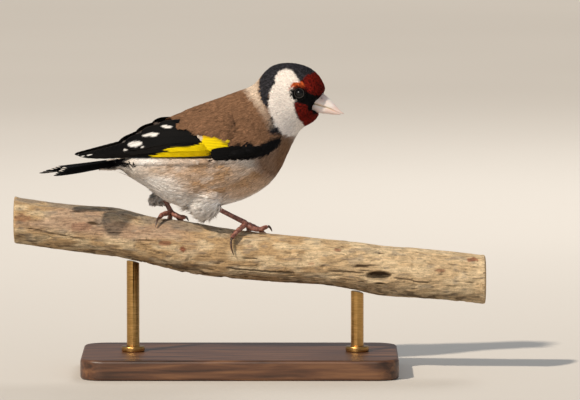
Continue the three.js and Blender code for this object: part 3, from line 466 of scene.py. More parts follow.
# Seven numbers for each point: middle colour, tip colour and how much feathers differ
def plumage(points, wobble=0.25):
    u, v, z = toBody(points)
    uh, _, _ = toHead(points)
    side = np.abs(v)
    loose = (lumpNoise(points, 1.1, 3) - 0.5) * 2 * wobble

    layers = np.tile(inkRow("belly"), (len(points), 1))

    def lay(name, weight):
        blend(layers, inkRow(name), weight)

    def inside(name, x, soft=0.25):
        return np.clip((insideBy(x, z, marks[name]) + loose) / soft * 0.5 + 0.5, 0, 1)

    def blob(cu, cz, ru, rz):
        return 1 - ease((np.hypot((u - cu) / ru, (z - cz) / rz) - 0.6) / 0.8)

    mottle = lumpNoise(points, (3.2, 3.2, 1.6), 5)
    lay("buff", blob(4, 77.5, 19, 7.5) * (0.55 + 0.6 * mottle) * ease((side - 4) / 5))
    lay("buff", blob(-13, 81.5, 12, 3.6) * (0.3 + 0.7 * mottle) * ease((side - 4) / 5))
    lay("grey", blob(17, 83.5, 9, 3.4) * mottle * 1.2)
    lay("breast", blob(24, 86, 9.5, 12) * ease((side - 1.2) / 3.5) * 0.92)
    # A darker brown patch at the front of the breast: painted shade on the side turned away from the sun
    lay("breast", blob(30.5, 84, 6.0, 10.5) * 0.85)
    # A brownish patch along the lower rear edge of the belly: painted shade
    lay("rump", blob(-28, 80.3, 8, 2.4) * 0.55)
    lay("buff", blob(16, 72.5, 10, 5) * 0.6 * ease((side - 3) / 5))
    lay("undertail", ease((-27 - u) / 6))
    backLine = np.interp(u, [-46, -34, -24, -14, 0, 12, 20, 26], [83, 84.5, 88, 90, 89.5, 89.5, 90.5, 97])
    lay("mantle", ease((z - backLine) / 1.2 + 0.5) * ease((30 - u) / 3))
    lay("rump", ease((-20 - u) / 9) * ease((z - backLine) / 1.2 + 0.5))
    # Black at the side of the tail's root: partly the black feathers there, partly painted shade
    lay("black", np.clip(insideBy(u, z, marks["tailSide"]) / 0.4 + 0.8, 0, 1) * ease((side - 0.8) / 0.8))
    onWing = between(u, -14, 27.5) * (z > 84.7) * ease((side - 9) / 2)
    lowWing = onWing * inside("yellow", u) * (1 - inside("scapular", u, 0.5))
    lay("black", inside("shoulder", u) * onWing)
    lay("mantle", inside("scapular", u, 0.8) * onWing)
    lay("yellow", lowWing * (z > 86))
    lay("amber", lowWing * ease((z - 93.2 + loose * 2) / 1.2) * 0.8)
    lay("cap", ease((uh - 26) / 2) * ease((z - 93) / 2))
    nape = np.clip((insideBy(uh, z, marks["nape"]) + loose * 2) / 2.4 + 0.5, 0, 1)
    lay("nape", nape * (0.35 + 0.65 * ease((z - 99) / 10)))
    lay("cheek", np.clip((insideBy(uh, z, marks["cheek"]) + loose * 1.6) / 0.9 + 0.5, 0, 1))
    lay("black", ease((uh - 41.0) / 1.0) * ease((z - 96) / 2))
    lay("cap", inside("cap", uh))
    lay("crimson", inside("throat", uh))
    lay("black", inside("lores", uh))
    lay("crimson", inside("forehead", uh))
    # The red above the eye is painted a brighter orange: partly the red's own colour, partly painted sheen
    lay("brow", inside("brow", uh))
    lay("black", 1 - ease((np.hypot(uh - eyes["u"], z - eyes["z"]) - 2.15) / 0.35))
    lay("belly", 0.8 * blob(24.4, 97.6, 0.8, 0.8) * ease((-v - 9) / 2))
    return layers


# Skin: the flesh nodes, the arms of the wings and the root of the tail as one surface, sunk below the coat
skinSizes = {"swell": 0.22, "voxel": 0.6, "rounds": 7, "relaxShares": (0.62, -0.64),
             "depthBody": 1.25, "depthHead": 0.7, "depthFace": 0.12, "depthThigh": 2.0,
             "depthFarThigh": 3.4, "depthLedge": 0.1, "armFrom": 0.0, "thighReach": 0.8,
             "billU": 46.0, "billHalf": 1.5}


# Smooths without shrinking: each round relaxes the surface and then swells it back
def relax(points, triangles, rounds):
    pairs = np.concatenate([triangles[:, [0, 1]], triangles[:, [1, 2]], triangles[:, [2, 0]]])
    pairs = np.concatenate([pairs, pairs[:, ::-1]])
    shares = np.bincount(pairs[:, 0], minlength=len(points))[:, None]
    for share in skinSizes["relaxShares"] * rounds:
        mean = np.stack([np.bincount(pairs[:, 0], weights=points[pairs[:, 1], i], minlength=len(points))
                         for i in range(3)], axis=1) / shares
        points = points + (mean - points) * share
    return points


fleshNodes = ["torso", "neck", "head", "thigh_right", "thigh_left"]
skin = copyNodes("skin", fleshNodes)
for side in ("right", "left"):  # the solid arm of each wing, without the vanes behind it
    copyNodes("arm", ["wing_" + side])
    bpy.ops.object.mode_set(mode="EDIT")
    bpy.ops.mesh.select_all(action="SELECT")
    cut = fromBody(skinSizes["armFrom"], 0.0, 90.0) * mm
    bpy.ops.mesh.bisect(plane_co=cut, plane_no=bodyWay(1.0, 0.0, 0.0), use_fill=True, clear_inner=True)
    bpy.ops.object.mode_set(mode="OBJECT")
    skin.select_set(True)
    bpy.context.view_layer.objects.active = skin
    bpy.ops.object.join()
tailRoot = {"u": -36.5, "z": 82.6, "radii": (7.5, 3.4, 2.6), "tilt": math.radians(-8)}
bpy.ops.mesh.primitive_uv_sphere_add(segments=32, ring_count=16, radius=mm, location=(0, 0, 0))
root = bpy.context.object
root.scale = tailRoot["radii"]
root.rotation_euler = (0, tailRoot["tilt"], bird["yaw"])
root.location = fromBody(tailRoot["u"], 0.0, tailRoot["z"]) * mm
bpy.ops.object.transform_apply(location=True, rotation=True, scale=True)
skin.select_set(True)
bpy.context.view_layer.objects.active = skin
bpy.ops.object.join()
applyModifier(skin, "DISPLACE", strength=skinSizes["swell"] * mm, mid_level=0)
applyModifier(skin, "REMESH", mode="VOXEL", voxel_size=skinSizes["voxel"] * mm)
skinTriangles = trianglesOf(skin)
skinPoints = relax(pointsOf(skin), skinTriangles, skinSizes["rounds"])
skinNormals = pointNormals(skinPoints, skinTriangles)
thighBoxes = [np.array(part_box("thigh_" + s)) / mm for s in ("right", "left")]


# Share of a thigh at each point: 1 at its lower end, 0 where it meets the flank and elsewhere
def onThigh(points):
    held = np.zeros(len(points))
    for low, high in thighBoxes:
        near = np.all(between(points, low - skinSizes["thighReach"], high + skinSizes["thighReach"]), axis=1)
        held = np.maximum(held, near * ease((high[2] - 1.0 - points[:, 2]) / 4))
    return held


headAlong = toHead(skinPoints)[0]
depth = np.interp(headAlong, [18, 26, 38, 44], [skinSizes["depthBody"], skinSizes["depthHead"],
                                                skinSizes["depthHead"], skinSizes["depthFace"]])
held = onThigh(skinPoints)
farSide = toBody(skinPoints)[1] > 0
depth = depth * (1 - held) + np.where(farSide, skinSizes["depthFarThigh"], skinSizes["depthThigh"]) * held
skinU, _, skinZ = toBody(skinPoints)
ledge = between(skinU, -35, 2) & (skinZ < 85.8)  # the flank fills up under the wing's edge
ledge = ledge * ease((skinZ - 80.5) / 3) * ease((skinNormals[:, 2] + 0.05) / 0.6)
depth = depth * (1 - ledge) + skinSizes["depthLedge"] * ledge
skinPoints = skinPoints - skinNormals * (depth + skinSizes["swell"])[:, None]
headU, headV, headZ = toHead(skinPoints)
# Under the bill's outline the skin narrows, so that it lies inside the horn
inBill = ease((insideBy(headU, headZ, marks["bill"]) + 0.3) / 0.8)
headU = headU * (1 - inBill) + np.minimum(headU, skinSizes["billU"]) * inBill
headV = headV * (1 - inBill) + np.clip(headV, -skinSizes["billHalf"], skinSizes["billHalf"]) * inBill
skinPoints = fromHead(headU, headV, headZ)
setPoints(skin, skinPoints)
# The skin takes the coat's colours a fifth darker: painted shade in the gaps between the tufts
paintPoints(skin, plumage(skinPoints)[:, :3] * 0.8)
shadeSmooth(skin)

# Skin with down: soft and matt, the same markings as the coat over it, so no gap shows another colour, but a
# fifth darker: painted shade in the gaps between the tufts
downSkin = newMaterial("skin under down", {"Roughness": 0.9, "Specular IOR Level": 0.15})
wire(downSkin, "Base Color", pointInk(downSkin))
relief(downSkin, grain(downSkin, 3000.0), 0.4, 0.0003)
finishPiece(skin, downSkin, "plumage_body", *fleshNodes)

# Folded wing: half width at the lower edge and how it draws in above it, by u
wing = {
    "edgeZ": 86.0,
    "u": [-56, -44, -37, -24, -14, -3, 11, 18.5, 27],
    "half": [3.4, 5.9, 7.9, 11.6, 15.0, 16.9, 17.0, 16.0, 12.8],
    "slope": [0.5, 0.42, 0.36, 0.20, 0.08, -0.02, -0.05, -0.05, -0.05],
    "curve": [0.0, 0.03, 0.05, 0.034, 0.022, 0.014, 0.008, 0.008, 0.008],
}


# Reads a list at any place with smooth bends
def smoothRead(places, values, at):
    places, values = np.array(places, float), np.array(values, float)
    slopes = np.gradient(values, places)
    i = np.clip(np.searchsorted(places, at) - 1, 0, len(places) - 2)
    span = places[i + 1] - places[i]
    t = np.clip((at - places[i]) / span, 0, 1)
    t2, t3 = t * t, t * t * t
    return ((2 * t3 - 3 * t2 + 1) * values[i] + (t3 - 2 * t2 + t) * span * slopes[i]
            + (3 * t2 - 2 * t3) * values[i + 1] + (t3 - t2) * span * slopes[i + 1])


# Half width of the bird over the outer faces of its wings
def wingHalf(u, z):
    rise = z - wing["edgeZ"]
    edge, slope, curve = (smoothRead(wing["u"], wing[key], u) for key in ("half", "slope", "curve"))
    return edge - slope * rise - curve * rise * np.abs(rise)


# Point of the folded wing at a depth below its outer face; side is 1 on the right, -1 on the left
def wingPoint(u, z, depth, side):
    drawIn = wingHalf(u, z - 0.5) - wingHalf(u, z + 0.5)
    return fromBody(u, (depth * np.hypot(1, drawIn) - wingHalf(u, z)) * side, z)


# Coat: it grows on the skin and, over each wing's top, on the sheet that carries the scapular feathers
scapularSheet = {"u": (-14.5, 11.0), "foldZ": 97.6, "lowZ": 91.5, "depth": 0.15, "along": 42, "up": 34,
                 "backU": [-14.5, -6.0, 4.5, 11.0], "backZ": [99.8, 102.6, 104.6, 105.9],
                 "bulge": 0.35, "sinkFrom": 4.0, "sinkOver": 6.5, "sunk": 0.5}
skinTree = BVHTree.FromPolygons(skinPoints.tolist(), skinTriangles.tolist())


# Half width of the skin on one side
def skinHalf(u, z, side):
    outside = fromBody(u, -30.0 * side, z)
    inward = fromBody(u, 0.0, z) - outside
    hit = skinTree.ray_cast(outside.tolist(), inward.tolist())[0]
    return abs(toBody(np.array([hit]))[1][0]) if hit else 0.0


groundPoints, groundTriangles = [skinPoints], [skinTriangles]
foldZ, bulge = scapularSheet["foldZ"], scapularSheet["bulge"]
for side in (1, -1):
    sheet = []
    for at in np.linspace(*scapularSheet["u"], scapularSheet["along"]):
        backZ = np.interp(at, scapularSheet["backU"], scapularSheet["backZ"])
        foldHalf, reach = wingHalf(at, foldZ), skinHalf(at, backZ, side)
        # The front of the sheet goes down into the skin
        sink = ease((at - scapularSheet["sinkFrom"]) / scapularSheet["sinkOver"])
        for z in np.linspace(scapularSheet["lowZ"], backZ, scapularSheet["up"]):
            over = np.clip((z - foldZ) / (backZ - foldZ), 0, 1)
            half = wingHalf(at, z)
            if over > 0:
                half = foldHalf + (reach - foldHalf) * (bulge * over + (1 - bulge) * over ** 2)
            if sink > 0:
                half = half * (1 - sink) + (skinHalf(at, z, side) - scapularSheet["sunk"]) * sink
            sheet.append(fromBody(at, -(half - scapularSheet["depth"]) * side, z))
    quads = gridQuads(scapularSheet["along"], scapularSheet["up"])[:, ::side]
    start = sum(len(p) for p in groundPoints)
    groundPoints.append(np.array(sheet))
    groundTriangles.append(splitQuads(quads) + start)
groundPoints = np.concatenate(groundPoints)
groundTriangles = np.concatenate(groundTriangles)
groundNormals = pointNormals(groundPoints, groundTriangles)
sheetStart = len(skinPoints)
ground = BVHTree.FromPolygons(groundPoints.tolist(), groundTriangles.tolist())


# The nearest places on the ground that the coat grows on, and the way they face
def onGround(points):
    found = np.empty_like(points)
    faces = np.empty(len(points), np.int64)
    for i, point in enumerate(points.tolist()):
        place, _, index, _ = ground.find_nearest(point)
        found[i] = place
        faces[i] = index
    normals = unit(groundNormals[groundTriangles[faces]].mean(axis=1))
    return found, normals


billBase = fromHead(46.0, 0.0, 106.0)


# Which way the feathers lie: back from the bill over the head, then back and down the sides
def coatLie(points, normals):
    u, v, z = toBody(points)
    uh = toHead(points)[0]
    back = bodyWay(-1.0, 0.0, 0.0)
    sideways = ease(np.abs(v) / 9)
    down = (0.42 + 0.35 * ease((u - 14) / 12) * ease((98 - z) / 10)) * sideways
    down = down + 1.1 * ease((u - 24) / 8) * ease((96 - z) / 8)
    down = down * (1 - 0.9 * ease((-12 - u) / 14))
    flow = back + np.array([0, 0, -1.0]) * down[:, None]
    thigh = onThigh(points)[:, None]
    flow = flow * (1 - thigh) + (back + np.array([0, 0, -0.42])) * thigh
    rim = (between(u, -36, 2) & between(z, 82, 86.5))[:, None] * ease((normals[:, 2:3] - 0.25) / 0.3)
    outward = bodyWay(0.0, 1.0, 0.0) * np.sign(v)[:, None]
    flow = flow * (1 - rim) + (back * 1.1 + outward * 0.3 + np.array([0, 0, -0.15])) * rim
    headward = ease((uh - 24) / 8)[:, None] * ease((z - 92) / 6)[:, None]
    away = unit(points - billBase)
    flow = flow * (1 - headward) + away * headward
    flow = flow - normals * np.sum(flow * normals, axis=1, keepdims=True)
    return unit(flow)


# Even but loose places over the ground, as many to the square mm as the density asks
def scatter(density):
    a, b, c = (groundPoints[groundTriangles[:, i]] for i in range(3))
    area = np.linalg.norm(np.cross(b - a, c - a), axis=1) / 2
    wanted = area * density((a + b + c) / 3)
    total = int(wanted.sum())
    steps = (np.arange(total) + dice.random(total)) / total
    faces = np.searchsorted(np.cumsum(wanted) / wanted.sum(), steps)
    faces = np.clip(faces, 0, len(area) - 1)
    r1, r2 = np.sqrt(dice.random(total)), dice.random(total)
    r1, r2 = r1[:, None], r2[:, None]
    points = a[faces] * (1 - r1) + b[faces] * (r1 * (1 - r2)) + c[faces] * (r1 * r2)
    normals = unit(groundNormals[groundTriangles[faces]].mean(axis=1))
    onSheet = groundTriangles[faces, 0] >= sheetStart
    return points, normals, onSheet


# Feathers to the square mm, so that small ones on the face stay as dense as large ones behind
def coatDensity(points):
    u, v, z = toBody(points)
    uh = toHead(points)[0]
    headward = ease((uh - 21) / 6) * ease((z - 90) / 6)
    return coat["densityBody"] * (1 - headward) + coat["densityHead"] * headward


# Places named clear or gap stay bare: under the folded wing, on its yellow band, at the eye and at the bill
coat = {
    "densityBody": 4.0, "densityHead": 11.6, "fingers": 5,
    "rowPlaces": (0.0, 0.30, 0.56, 1.0), "rowWidths": (0.45, 0.95, 1.0), "softness": 0.62,
    "wingTop": ([-56, -46, -36, -28, -22, -12, 0], [87.0, 89.5, 94.0, 97.5, 100.0, 101.0, 100.5]),
    "wingFront": 1.5, "wingLow": 85.0, "wingClear": (1.7, 4.3),
    "shoulderU": (-2, 5.6), "shoulderZ": (85.6, 98.0), "shoulderClear": 5.0, "yellowClear": 3.5,
    "eyeGap": 1.86, "billGap": 0.7, "billFront": 47.6,
    "lengthBack": 5.6, "lengthUnder": 1.6, "lengthHead": 2.6, "thighTrim": (0.28, 0.66),
    "widthBody": 1.25, "widthHead": 0.66, "bristleShare": 0.15, "patch": 0.003,
    "lift": ([18, 26, 38, 44], [1.15, 0.66, 0.6, 0.46]), "sheetLift": 0.75, "looseLift": 1.1,
}
roots, rootNormals, onSheet = scatter(coatDensity)
u, v, z = toBody(roots)
uh = toHead(roots)[0]
recess = wingHalf(u, z) - np.abs(v)  # how far a place lies inside the wing's outer face
byBill = insideBy(uh, z, marks["bill"])
clear, deepClear = coat["wingClear"]
underWing = (u < coat["wingFront"]) & between(z, coat["wingLow"], np.interp(u, *coat["wingTop"]) - 0.3)
bare = underWing & (recess > clear) & ((recess < deepClear) | (z < 88)) & ~onSheet
bare |= onSheet & (insideBy(u, z, marks["scapular"]) < 0.5) & (z < 97)
shoulder = between(u, *coat["shoulderU"]) & between(z, *coat["shoulderZ"])
bare |= shoulder & (recess < coat["shoulderClear"]) & ~onSheet
bare |= (insideBy(u, z, marks["yellow"]) > -0.2) & (recess < coat["yellowClear"])
bare |= (np.hypot(uh - eyes["u"], z - eyes["z"]) <= coat["eyeGap"]) & (uh >= 34)
bare |= (byBill >= 0) | (uh >= coat["billFront"]) | ((byBill > -0.35) & (uh > 43.2) & (z < 107.2))
roots, rootNormals, onSheet = roots[~bare], rootNormals[~bare], onSheet[~bare]
u, v, z = toBody(roots)
uh = toHead(roots)[0]
side = np.abs(v)
thigh = onThigh(roots)
flow = coatLie(roots, rootNormals)
byBill = insideBy(uh, z, marks["bill"])
# A few nasal bristles point forward over the base of the bill
bristle = (byBill > -coat["billGap"]) & (uh > 43) & between(z, 107.4, 109.8)
bristle &= dice.random(len(roots)) < coat["bristleShare"]
forward = fromHead(1.0, 0.0, -0.45) - fromHead(0.0, 0.0, 0.0)
forward = forward - rootNormals * (rootNormals @ forward)[:, None]
flow = np.where(bristle[:, None], unit(forward), flow)
headward = ease((uh - 22) / 7) * ease((z - 91) / 6)
face = ease((uh - 35) / 6) * headward
under = ease((84 - z) / 7)
length = coat["lengthBack"] + coat["lengthUnder"] * under
length = length * (1 - headward) + coat["lengthHead"] * headward - 1.0 * face
length = length * (1 - 0.2 * ease((-25 - u) / 10))
eyeAway = np.where(uh > 33, np.hypot(uh - eyes["u"], z - eyes["z"]), 9.0)
length = length * (0.45 + 0.55 * ease((eyeAway - 2.2) / 2))
length = length * np.where(bristle, 0.55, 0.45 + 0.55 * ease((-byBill - 0.2) / 2.2))
length = length * (1 - np.where(v < 0, *coat["thighTrim"]) * thigh)
length = length * (0.78 + 0.44 * dice.random(len(roots)))
onArm = between(u, 4.5, 14) & between(z, 86, 93.5) & (wingHalf(u, z) - side < 1.7) & ~onSheet
length = np.where(onArm, np.minimum(length, 0.5 + (u - 5.0) * 1.05), length)  # ends where the yellow begins
sheetReach = 1.7 + 1.1 * np.clip(insideBy(u, z, marks["scapular"]), 0, 9)
length = np.where(onSheet, np.minimum(length, sheetReach), length)
width = coat["widthBody"] * (1 - headward) + coat["widthHead"] * headward - 0.10 * face
width = width * (0.8 + 0.4 * dice.random(len(roots)))
loose = np.clip(thigh + 0.55 * ease((79 - z) / 8) * ease((14 - u) / 8), 0, 1)
byTail = insideBy(u, z, marks["tailSide"]) > -0.8
turn = dice.normal(0, 1, len(roots)) * np.radians(6 + 11 * loose) * np.where(byTail, 0.3, 1)
sideways = np.cross(rootNormals, flow)
flow = flow * np.cos(turn)[:, None] + sideways * np.sin(turn)[:, None]
lift = np.interp(uh, *coat["lift"]) * (0.86 + 0.28 * dice.random(len(roots)))
lift = lift * np.where(byTail & (side > 0.8), 0.5, 1.0) + 0.3 * ease((3.4 - eyeAway) / 1.2)
lift = np.where(onSheet, coat["sheetLift"] + 0.25 * dice.random(len(roots)), lift)
lift = lift + coat["looseLift"] * loose * dice.random(len(roots))
reachOut = np.where((eyeAway < 2.8) | onSheet | onArm, 0.05, 0.62)
tone = plumage(roots + flow * (length * reachOut)[:, None], 0.3)
tone[bristle] = inkRow("nasal")
print("coat roots", len(roots))

rowNormals, rowCentres = [], []
for place in coat["rowPlaces"]:
    straight = roots + flow * (length * place)[:, None]
    centres, normals = onGround(straight) if place else (roots, rootNormals)
    hang = np.maximum(0.75 * thigh, bristle)[:, None] * (place > 0)
    centres, normals = centres * (1 - hang) + straight * hang, unit(normals * (1 - hang) + rootNormals * hang)
    swell = -0.35 + (lift + 0.35) * ease(place * 2.2) * (1 - 0.2 * place + 0.25 * place * loose)
    rowCentres.append(centres + normals * swell[:, None])
    rowNormals.append(normals)


# Triangles of one tuft: two bands between three rows, then a point for each finger
def tuftPattern(fingers):
    step = fingers + 1
    pattern = []
    for row in range(2):
        for k in range(fingers):
            a = row * step + k
            pattern += [(a, a + step + 1, a + 1), (a, a + step, a + step + 1)]
    for k in range(fingers):
        pattern.append((2 * step + k + 1, 2 * step + k, 3 * step + k))
    return np.array(pattern)


# Unwrap of the skin: along the bird and around it; each tuft has a small patch at its root
def tuftUnwrap(points, fingers):
    u, v, z = toBody(points)
    spineZ = np.interp(u, [-45, -20, 0, 25, 45], [82, 84, 87, 100, 108])
    around = np.arctan2(v, z - spineZ) / (2 * math.pi) + 0.5
    along = (u + 50) / 100
    rowAt = np.concatenate([np.repeat(coat["rowPlaces"][:3], fingers + 1), np.ones(fingers)])
    fingerAt = (np.arange(fingers) + 0.5) / fingers
    acrossAt = np.concatenate([np.tile(np.linspace(0, 1, fingers + 1), 3), fingerAt])
    return np.stack([np.clip(along[:, None], 0.01, 0.98) + rowAt * coat["patch"],
                     np.clip(around[:, None], 0.01, 0.98) + acrossAt * coat["patch"]], axis=-1).reshape(-1, 2)


# Joined tufts: each is a small vane that parts into fingers at its tip
def tuftMesh(title, pick):
    fingers = coat["fingers"]
    count = len(pick)
    columns = np.linspace(-1, 1, fingers + 1)
    blocks, shades, leans = [], [], []
    freckle = 1 + dice.normal(0, 1, (count, 1)) * tone[pick, 6:7]
    barb = 1 + dice.normal(0, 0.17, (count, fingers + 1))
    ridge = dice.normal(0, 0.035, (count, fingers + 1))
    freckle = np.clip(freckle, 0.35, 1.9)
    middle, edge = tone[pick, :3] * freckle, tone[pick, 3:6] * freckle
    for row, rowShade in zip(range(3), (0.62, 0.86, 1.0)):
        centre, normal = rowCentres[row][pick], rowNormals[row][pick]
        across = unit(np.cross(normal, flow[pick]))
        half = width[pick] / 2 * coat["rowWidths"][row]
        for k, c in enumerate(columns):
            height = -0.16 * c * c * width[pick] + ridge[:, k] * (row > 0)
            blocks.append(centre + across * (half * c)[:, None] + normal * height[:, None])
            leans.append(unit(normal + across * c * 0.3))
            share = row / 3
            shades.append((middle * (1 - share) + edge * share) * (barb[:, k] * rowShade)[:, None])
    span = 1 - coat["rowPlaces"][2]
    for k in range(fingers):
        c = (columns[k] + columns[k + 1]) / 2
        reach = 1.0 - 0.34 * c * c + dice.normal(0, 0.12, count)
        share = np.clip((reach - coat["rowPlaces"][2] + 0.12) / (span + 0.12), 0.25, 1.25)[:, None]
        centre = rowCentres[2][pick] * (1 - share) + rowCentres[3][pick] * share
        across = unit(np.cross(rowNormals[3][pick], flow[pick]))
        leans.append(unit(rowNormals[3][pick] + across * c * 0.3))
        aside = width[pick] / 2 * c * (0.9 + 0.35 * loose[pick] + dice.normal(0, 0.16, count))
        droop = 0.10 * np.abs(c) * width[pick]
        blocks.append(centre + across * aside[:, None] - rowNormals[3][pick] * droop[:, None])
        shades.append(edge * (barb[:, k] * 1.04)[:, None])
    points = np.stack(blocks, axis=1)
    colours = np.clip(np.stack(shades, axis=1), 0.001, 0.97)
    each = points.shape[1]
    triangles = (np.arange(count)[:, None, None] * each + tuftPattern(fingers)).reshape(-1, 3)
    points, leans = points.reshape(-1, 3), np.stack(leans, axis=1).reshape(-1, 3)
    uvs = tuftUnwrap(roots[pick], fingers)
    obj = meshObject(title, points, triangles, colours.reshape(-1, 3), "OFBake", uvs)
    soft = unit(leans * coat["softness"] + pointNormals(points, triangles) * (1 - coat["softness"]))
    obj.data.normals_split_custom_set_from_vertices(soft)  # down scatters light, so tufts shade mostly as one
    return obj


# Contour feather: keratin barbs, matt, with fine light and dark lines that run out to the tip
barbs = newMaterial("contour feather", {"Roughness": 0.7, "Specular IOR Level": 0.07})
barbMap = addNode(barbs, "ShaderNodeUVMap", {"uv_map": "OFBake"})
barbStretch = addNode(barbs, "ShaderNodeMapping", {}, {"Vector": barbMap.outputs["UV"],
                                                       "Scale": (420.0, 3300.0, 1.0)})
barbLines = addNode(barbs, "ShaderNodeTexNoise", {}, {"Vector": barbStretch.outputs["Vector"], "Scale": 1.0,
                                                      "Detail": 1.0}).outputs["Fac"]
barbShare = product(barbs, spread(barbs, grain(barbs, 3500.0), 0.86, 1.14),
                    spread(barbs, barbLines, 0.66, 1.30, 0.3, 0.7))
wire(barbs, "Base Color", shadedInk(barbs, barbShare))
relief(barbs, barbLines, 0.5, 0.0001)

# Coat pieces: each takes what the ones before it have left
onHead, headSide = headward > 0.5, toHead(roots)[1]
regions = {
    "coat_scapulars": onSheet,
    "coat_thighs": thigh > 0.3,
    "coat_face_right": onHead & (uh >= 37.5) & (headSide < 0),
    "coat_face_left": onHead & (uh >= 37.5),
    "coat_crown": onHead & (z >= 112.5),
    "coat_cheek_right": onHead & (headSide < 0),
    "coat_cheek_left": onHead,
    "coat_breast": (u > 14) & (z < 99),
    "coat_nape": u > 12,
    "coat_back": z > 97,
    "coat_tail_coverts": u < -24,
    "coat_flank_right": v < 0,
    "coat_flank_left": v >= 0,
}
taken = np.zeros(len(roots), bool)
for title, mask in regions.items():
    pick = np.flatnonzero(mask & ~taken)
    taken[pick] = True
    tufts = tuftMesh(title, pick)
    slot = "plumage_head" if title.startswith(("coat_face", "coat_crown", "coat_cheek")) else "plumage_body"
    finishPiece(tufts, barbs, slot)

# Flight feather: smooth closed vane with a shaft, from a path of root, middle and tip
vaneSizes = {
    "rowStep": 0.62, "thickness": 0.14, "edgeThickness": 0.05, "shaftRise": 0.09, "shaftHalf": 0.10,
    "columns": (-1, -0.9, -0.76, -0.58, -0.38, -0.18, -0.07, 0, 0.07, 0.18, 0.38, 0.58, 0.76, 0.9, 1),
}


# Closed vane: a top and a bottom face over a grid along the path and across it, with walls around the edge
def vaneArrays(pathPoint, widthAt, depthAt, camber, place):
    ends = pathPoint(np.array([0.0, 0.5, 1.0]))
    rows = 12 + int(np.linalg.norm(np.diff(ends, axis=0), axis=1).sum() / vaneSizes["rowStep"])
    along = np.linspace(0, 1, rows) ** 0.92
    across = np.array(vaneSizes["columns"], float)
    gridA, gridX = np.meshgrid(along, across, indexing="ij")
    centre = pathPoint(gridA)
    ahead = unit(pathPoint(np.minimum(gridA + 0.01, 1.0)) - pathPoint(np.maximum(gridA - 0.01, 0.0)))
    cross = np.stack([ahead[..., 1], -ahead[..., 0]], axis=-1) * -1
    half = widthAt(gridA) / 2 * (1 + 0.03 * np.sin(gridA * 70 + centre[..., 0] * 3) * (np.abs(gridX) > 0.9))
    flat = centre + cross * (half * gridX)[..., None]
    shaft = np.exp(-(gridX / vaneSizes["shaftHalf"]) ** 2) * vaneSizes["shaftRise"] * (1 - 0.7 * gridA)
    edgeThick, midThick = vaneSizes["edgeThickness"], vaneSizes["thickness"]
    thick = edgeThick + (midThick - edgeThick) * (1 - gridX ** 2)
    base = depthAt(gridA) + camber * gridX ** 2
    top = place(flat, base - shaft - thick / 2)
    bottom = place(flat, base + thick / 2)
    count = gridA.size
    points = np.concatenate([top.reshape(-1, 3), bottom.reshape(-1, 3)])
    wide = len(across)
    upper = splitQuads(gridQuads(rows, wide))
    lower = upper[:, ::-1] + count
    rim = list(range(wide)) + [r * wide + wide - 1 for r in range(1, rows)]
    rim += [(rows - 1) * wide + c for c in range(wide - 2, -1, -1)]
    rim += [r * wide for r in range(rows - 2, 0, -1)]
    rim = np.array(rim)
    after = np.roll(rim, -1)
    walls = np.concatenate([np.stack([rim, after, after + count], axis=1),
                            np.stack([rim, after + count, rim + count], axis=1)])
    triangles = np.concatenate([upper, lower, walls])
    flatAll = np.concatenate([flat.reshape(-1, 2)] * 2)
    gridAll = np.concatenate([np.stack([gridA.ravel(), gridX.ravel()], axis=1)] * 2)
    centreAll = np.concatenate([centre.reshape(-1, 2)] * 2)
    return points, triangles, flatAll, gridAll, centreAll


# Flips a closed surface whose faces point in
def facedOut(points, triangles):
    a, b, c = (points[triangles[:, i]] for i in range(3))
    volume = np.sum(a * np.cross(b, c))
    return triangles if volume > 0 else triangles[:, ::-1]


# A curve from root to tip that its middle point draws aside
def bend(root, middle, tip):
    root, middle, tip = (np.array(p, float) for p in (root, middle, tip))

    def at(t):
        t = t[..., None]
        return (1 - t) ** 2 * root + 2 * (1 - t) * t * middle + t ** 2 * tip

    return at


# Width along a vane: narrow at the root, full from a third on, round at the tip
def vaneWidth(width, tipRound, rootShare=0.5):
    def at(t):
        intoTip = np.maximum(t - 1 + tipRound, 0) / tipRound
        opened = rootShare + (1 - rootShare) * ease(t * 3)
        return width * opened * np.sqrt(np.clip(1 - intoTip ** 2.4, 0.003, 1))

    return at


flight = {"layer": 0.16, "top": 0.30, "liftMost": 2.6, "liftFrom": -30, "liftTo": -45, "tuck": 3.2}


# The folded wing's long feathers from the top down: root, middle and tip in u and z, width, round of the tip
def wingList():
    kinds = []
    tertials = [((2, 96.2), (-9, 98.8), (-20.8, 97.2), 4.6), ((2, 94.6), (-12, 98.4), (-27.6, 93.8), 5.4),
                ((2, 92.8), (-14, 96.6), (-34.4, 89.9), 5.8)]
    for root, middle, tip, width in tertials:
        kinds.append(("tertial", root, middle, tip, width, 0.21))
    for k in range(6):  # each lies a little under the one above
        kinds.append(("secondary", (4, 92.2 - 0.4 * k), (-14, 94.4 - 0.62 * k),
                      (-30.2 - 0.95 * k, 90.9 - 0.48 * k), 4.6, 0.10))
    for k in range(9):
        kinds.append(("primary", (9, 90.2 - 0.32 * k), (-20, 91.0 - 0.44 * k),
                      (-36.6 - 1.95 * k, 89.2 - 0.34 * k), 4.35 - 0.14 * k, 0.2))
    return kinds


# White spots near the feathers' tips: place u and z, half length, half height and slope
wingSpots = [
    (-17.9, 97.5, 2.0, 0.42, 0.02), (-23.9, 94.4, 2.9, 0.62, 0.15), (-30.5, 90.7, 2.6, 0.95, 0.14),
    (-34.2, 88.5, 0.8, 0.35, 0.1), (-27.5, 89.6, 0.6, 0.3, 0.0), (-47.9, 86.7, 1.0, 0.22, 0.2),
    (-50.6, 86.2, 0.7, 0.2, 0.2),
]
wingInks = {key: rgb(code) for key, code in (
    ("black", "#060607"), ("brownBlack", "#171414"), ("edge", "#39332f"), ("yellow", "#f6da05"),
    ("amber", "#c2821a"), ("white", "#e9e6e2"), ("wedge", "#cdbfae"))}


